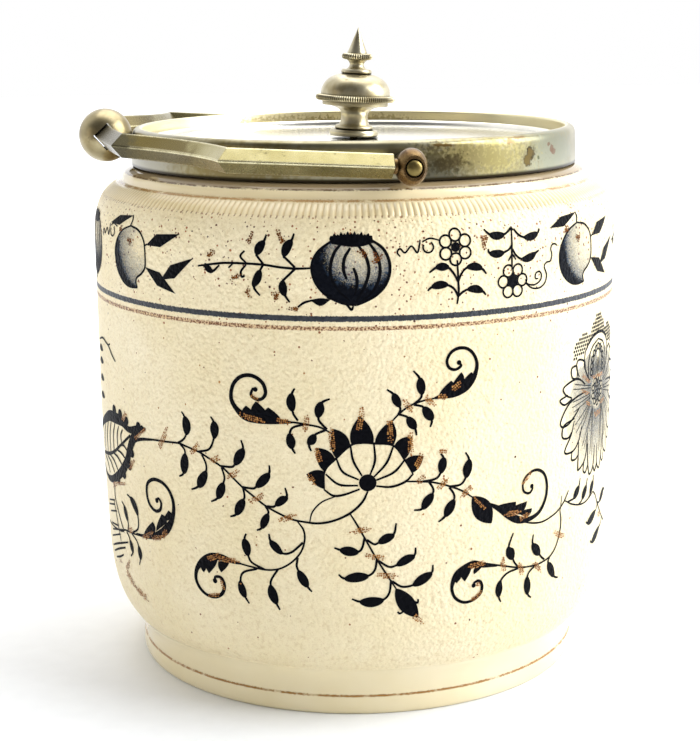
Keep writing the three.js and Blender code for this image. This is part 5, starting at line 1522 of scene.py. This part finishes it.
# %% Bars
ARM_START = 4.5
kink = np.array([KINK_REACH, BAR_OFFSET])
corner = np.array([CORNER_REACH, CORNER_OFFSET])
chord = corner - kink
hollow = np.array([chord[1], -chord[0]]) / np.linalg.norm(chord) * 2 * SHOULDER_HOLLOW
shoulder_pull = (kink + corner) / 2 + hollow
crossbar_pull = np.array([CORNER_REACH + 2 * CROSSBAR_BOW, 0])
kink_cut = cut_between(np.array([1.0, 0.0]), shoulder_pull - kink)
corner_cut = cut_between(corner - shoulder_pull, crossbar_pull - corner)
other_end = np.array([1, -1])
arm = bar([[ARM_START, BAR_OFFSET], [KINK_REACH / 2, BAR_OFFSET], kink], None, kink_cut)
shoulder = bar(bezier(kink, shoulder_pull, corner, 24), kink_cut, corner_cut)
crossbar = bar(bezier(corner, crossbar_pull, corner * other_end, 30), corner_cut, corner_cut * other_end)
for name, (points, faces, caps, edge), side, node in (
        ("bail_arm_bar_front", arm, "front", "bail_arm_front"),
        ("bail_shoulder_bar_front", shoulder, "front", "bail_shoulder_front"),
        ("bail_arm_bar_rear", arm, "rear", "bail_arm_rear"),
        ("bail_shoulder_bar_rear", shoulder, "rear", "bail_shoulder_rear"),
        ("bail_crossbar_bar", crossbar, "front", "bail_crossbar")):
    mesh = solid(name, (bail_place(points, side), faces, caps), bar_plate, "bail", "worn_plate", node).data
    # edge marks the bar's rounded corners for a painted highlight, and under marks its lower facets for
    # painted shade
    under = (points[:, 2] < -0.4).astype(float)
    mesh.attributes.new("edge", "FLOAT", "POINT").data.foreach_set("value", edge)
    mesh.attributes.new("under", "FLOAT", "POINT").data.foreach_set("value", under)
print("bar points:", len(arm[0]), len(shoulder[0]), len(crossbar[0]))

# %% [markdown]
# The ball grip is bored square for the crossbar. Its surface is one grid: round the bore, and out over the
# ball from one rim of the hole to the other and back through it. The rim's distance from the axis follows
# the square, so the ball ends exactly on the hole's edge.

# %% Ball grip
HOLE_SIDE = BAR_SIDE + 0.7
BALL_COLUMNS, BALL_ROWS = 96, 64
ball_angle = np.arange(BALL_COLUMNS) * 2 * math.pi / BALL_COLUMNS
rim = HOLE_SIDE / math.sqrt(2) / (np.abs(np.cos(ball_angle)) + np.abs(np.sin(ball_angle)))
first_lat = np.arcsin(rim / GRIP_RADIUS)[None, :]
share = np.linspace(0, 1, BALL_ROWS)[:, None]
latitude = first_lat + (math.pi - 2 * first_lat) * share
ball_out = GRIP_RADIUS * np.sin(latitude)
ball_along = -GRIP_RADIUS * np.cos(latitude)
bore_share = np.linspace(0, 1, 8)[1:-1, None]
bore_along = ball_along[-1:] + (ball_along[:1] - ball_along[-1:]) * bore_share
radial = np.vstack([ball_out, np.broadcast_to(rim, bore_along.shape), ball_out[:1]])
axial = np.vstack([ball_along, bore_along, ball_along[:1]])
grip_reach = CORNER_REACH + CROSSBAR_BOW
ball_points = np.stack([grip_reach + radial * np.cos(ball_angle), axial, radial * np.sin(ball_angle)], -1)
ball_shape = (bail_place(ball_points.reshape(-1, 3)), grid_faces(len(radial), BALL_COLUMNS, wrap=True))
solid("ball_grip", ball_shape, ball_plate, "bail", "worn_plate", "grip_ball")

# %% [markdown]
# ## Pivots
# Each end of the bail is an egg-shaped knuckle, bored for a screw whose low domed head sits in a sink. A
# boss and a washer hold the knuckle off the collar. They are turned about the pivot axis, and the egg is
# then made a little narrower than it is high, while its bore stays round.

# %% Pivot sizes
BOSS_RADIUS, BOSS_LOW, BOSS_FACE = 3.0, 61.6, 64.3
WASHER_RADIUS, WASHER_LOW, WASHER_FACE = 3.4, 64.6, 65.2
KNUCKLE_BACK, KNUCKLE_FRONT, KNUCKLE_FACE = 65.5, 72.5, 3.1
KNUCKLE_HALF_HEIGHT, KNUCKLE_HALF_WIDTH = 4.6, 4.0
SCREW_RADIUS, HEAD_RADIUS, HEAD_DEPTH, HEAD_DOME, SINK_RADIUS = 1.3, 1.95, 1.4, 0.8, 2.3
SCREW_TIP, SCREW_BORE = 62.4, 1.6
STUB_RADIUS, STUB_START = 1.9, 3.0
PIVOT_COLUMNS, STUB_COLUMNS = 72, 32

# %% Pivot pieces
def pivot_place(points, side):
    """Takes points turned about Z to the pivot axis: Z runs out towards the front or rear end."""
    turn_end = turn("x", math.pi / 2) if side == "front" else turn("x", -math.pi / 2)
    return points @ turn_end.T + np.array([0, 0, PIVOT_HEIGHT])


def egg_squash(radius, height, angle):
    """Narrows the knuckle: outside the sink, the radius is that of an ellipse with the egg's two halves."""
    narrow = KNUCKLE_HALF_WIDTH / KNUCKLE_HALF_HEIGHT
    ellipse = 1 / np.sqrt((np.cos(angle) / narrow) ** 2 + np.sin(angle) ** 2)
    return np.where(radius > SINK_RADIUS + 0.01, radius * ellipse, radius + 0 * angle)


head_seat = KNUCKLE_FRONT - HEAD_DEPTH
knuckle_outline = outline([SCREW_BORE, KNUCKLE_BACK], [KNUCKLE_FACE, KNUCKLE_BACK],
                          moulding([KNUCKLE_FACE, KNUCKLE_BACK], [KNUCKLE_FACE, KNUCKLE_FRONT],
                                   KNUCKLE_HALF_HEIGHT, 28), [SINK_RADIUS, KNUCKLE_FRONT],
                          [SINK_RADIUS, head_seat], [SCREW_BORE, head_seat], [SCREW_BORE, KNUCKLE_BACK])
head_low = head_seat + SEAT_GAP
screw_outline = outline([0, SCREW_TIP], [SCREW_RADIUS, SCREW_TIP], [SCREW_RADIUS, head_low],
                        [HEAD_RADIUS, head_low], [HEAD_RADIUS, KNUCKLE_FRONT],
                        curve([HEAD_RADIUS, KNUCKLE_FRONT], [0, KNUCKLE_FRONT + HEAD_DOME], [(0.15, 1)],
                              12))
boss_outline = outline(
    [0, BOSS_LOW], [BOSS_RADIUS, BOSS_LOW], [BOSS_RADIUS, BOSS_FACE], [SCREW_BORE, BOSS_FACE],
    [SCREW_BORE, SCREW_TIP - SEAT_GAP], [0, SCREW_TIP - SEAT_GAP])
washer_outline = outline([SCREW_BORE, WASHER_LOW], [WASHER_RADIUS, WASHER_LOW],
                         [WASHER_RADIUS, WASHER_FACE], [SCREW_BORE, WASHER_FACE],
                         [SCREW_BORE, WASHER_LOW])
stub_end = ARM_START + 0.1
stub, stub_faces = turned(outline([0, STUB_START], [STUB_RADIUS, STUB_START], [STUB_RADIUS, stub_end],
                                  [0, stub_end]), STUB_COLUMNS)
along_arm = stub[:, [2, 0, 1]] + np.array([0, BAR_OFFSET, 0])
pivot_up = np.array([0, 0, PIVOT_HEIGHT])
for side in ("front", "rear"):
    for name, profile, material, slot, node in (
            ("boss", boss_outline, worn_plate, "worn_plate", "pivot_boss"),
            ("spacer", washer_outline, brass, "turned_brass", "pivot_washer"),
            ("domed_screw", screw_outline, brass, "turned_brass", "pivot_screw")):
        points, faces = turned(profile, PIVOT_COLUMNS)
        solid(f"{name}_{side}", (pivot_place(points, side), faces), material, "barrel", slot,
              f"{node}_{side}")
    points, faces = turned(knuckle_outline, PIVOT_COLUMNS, wave=egg_squash)
    knuckle = (pivot_place(points, side) - pivot_up) @ BAIL_TURN.T + pivot_up
    solid(f"egg_knuckle_{side}", (knuckle, faces), bronze, "bail", "bare_bronze", f"knuckle_{side}")
    neck = (bail_place(along_arm, side), stub_faces)
    solid(f"knuckle_neck_{side}", neck, bronze, "bail", "bare_bronze")
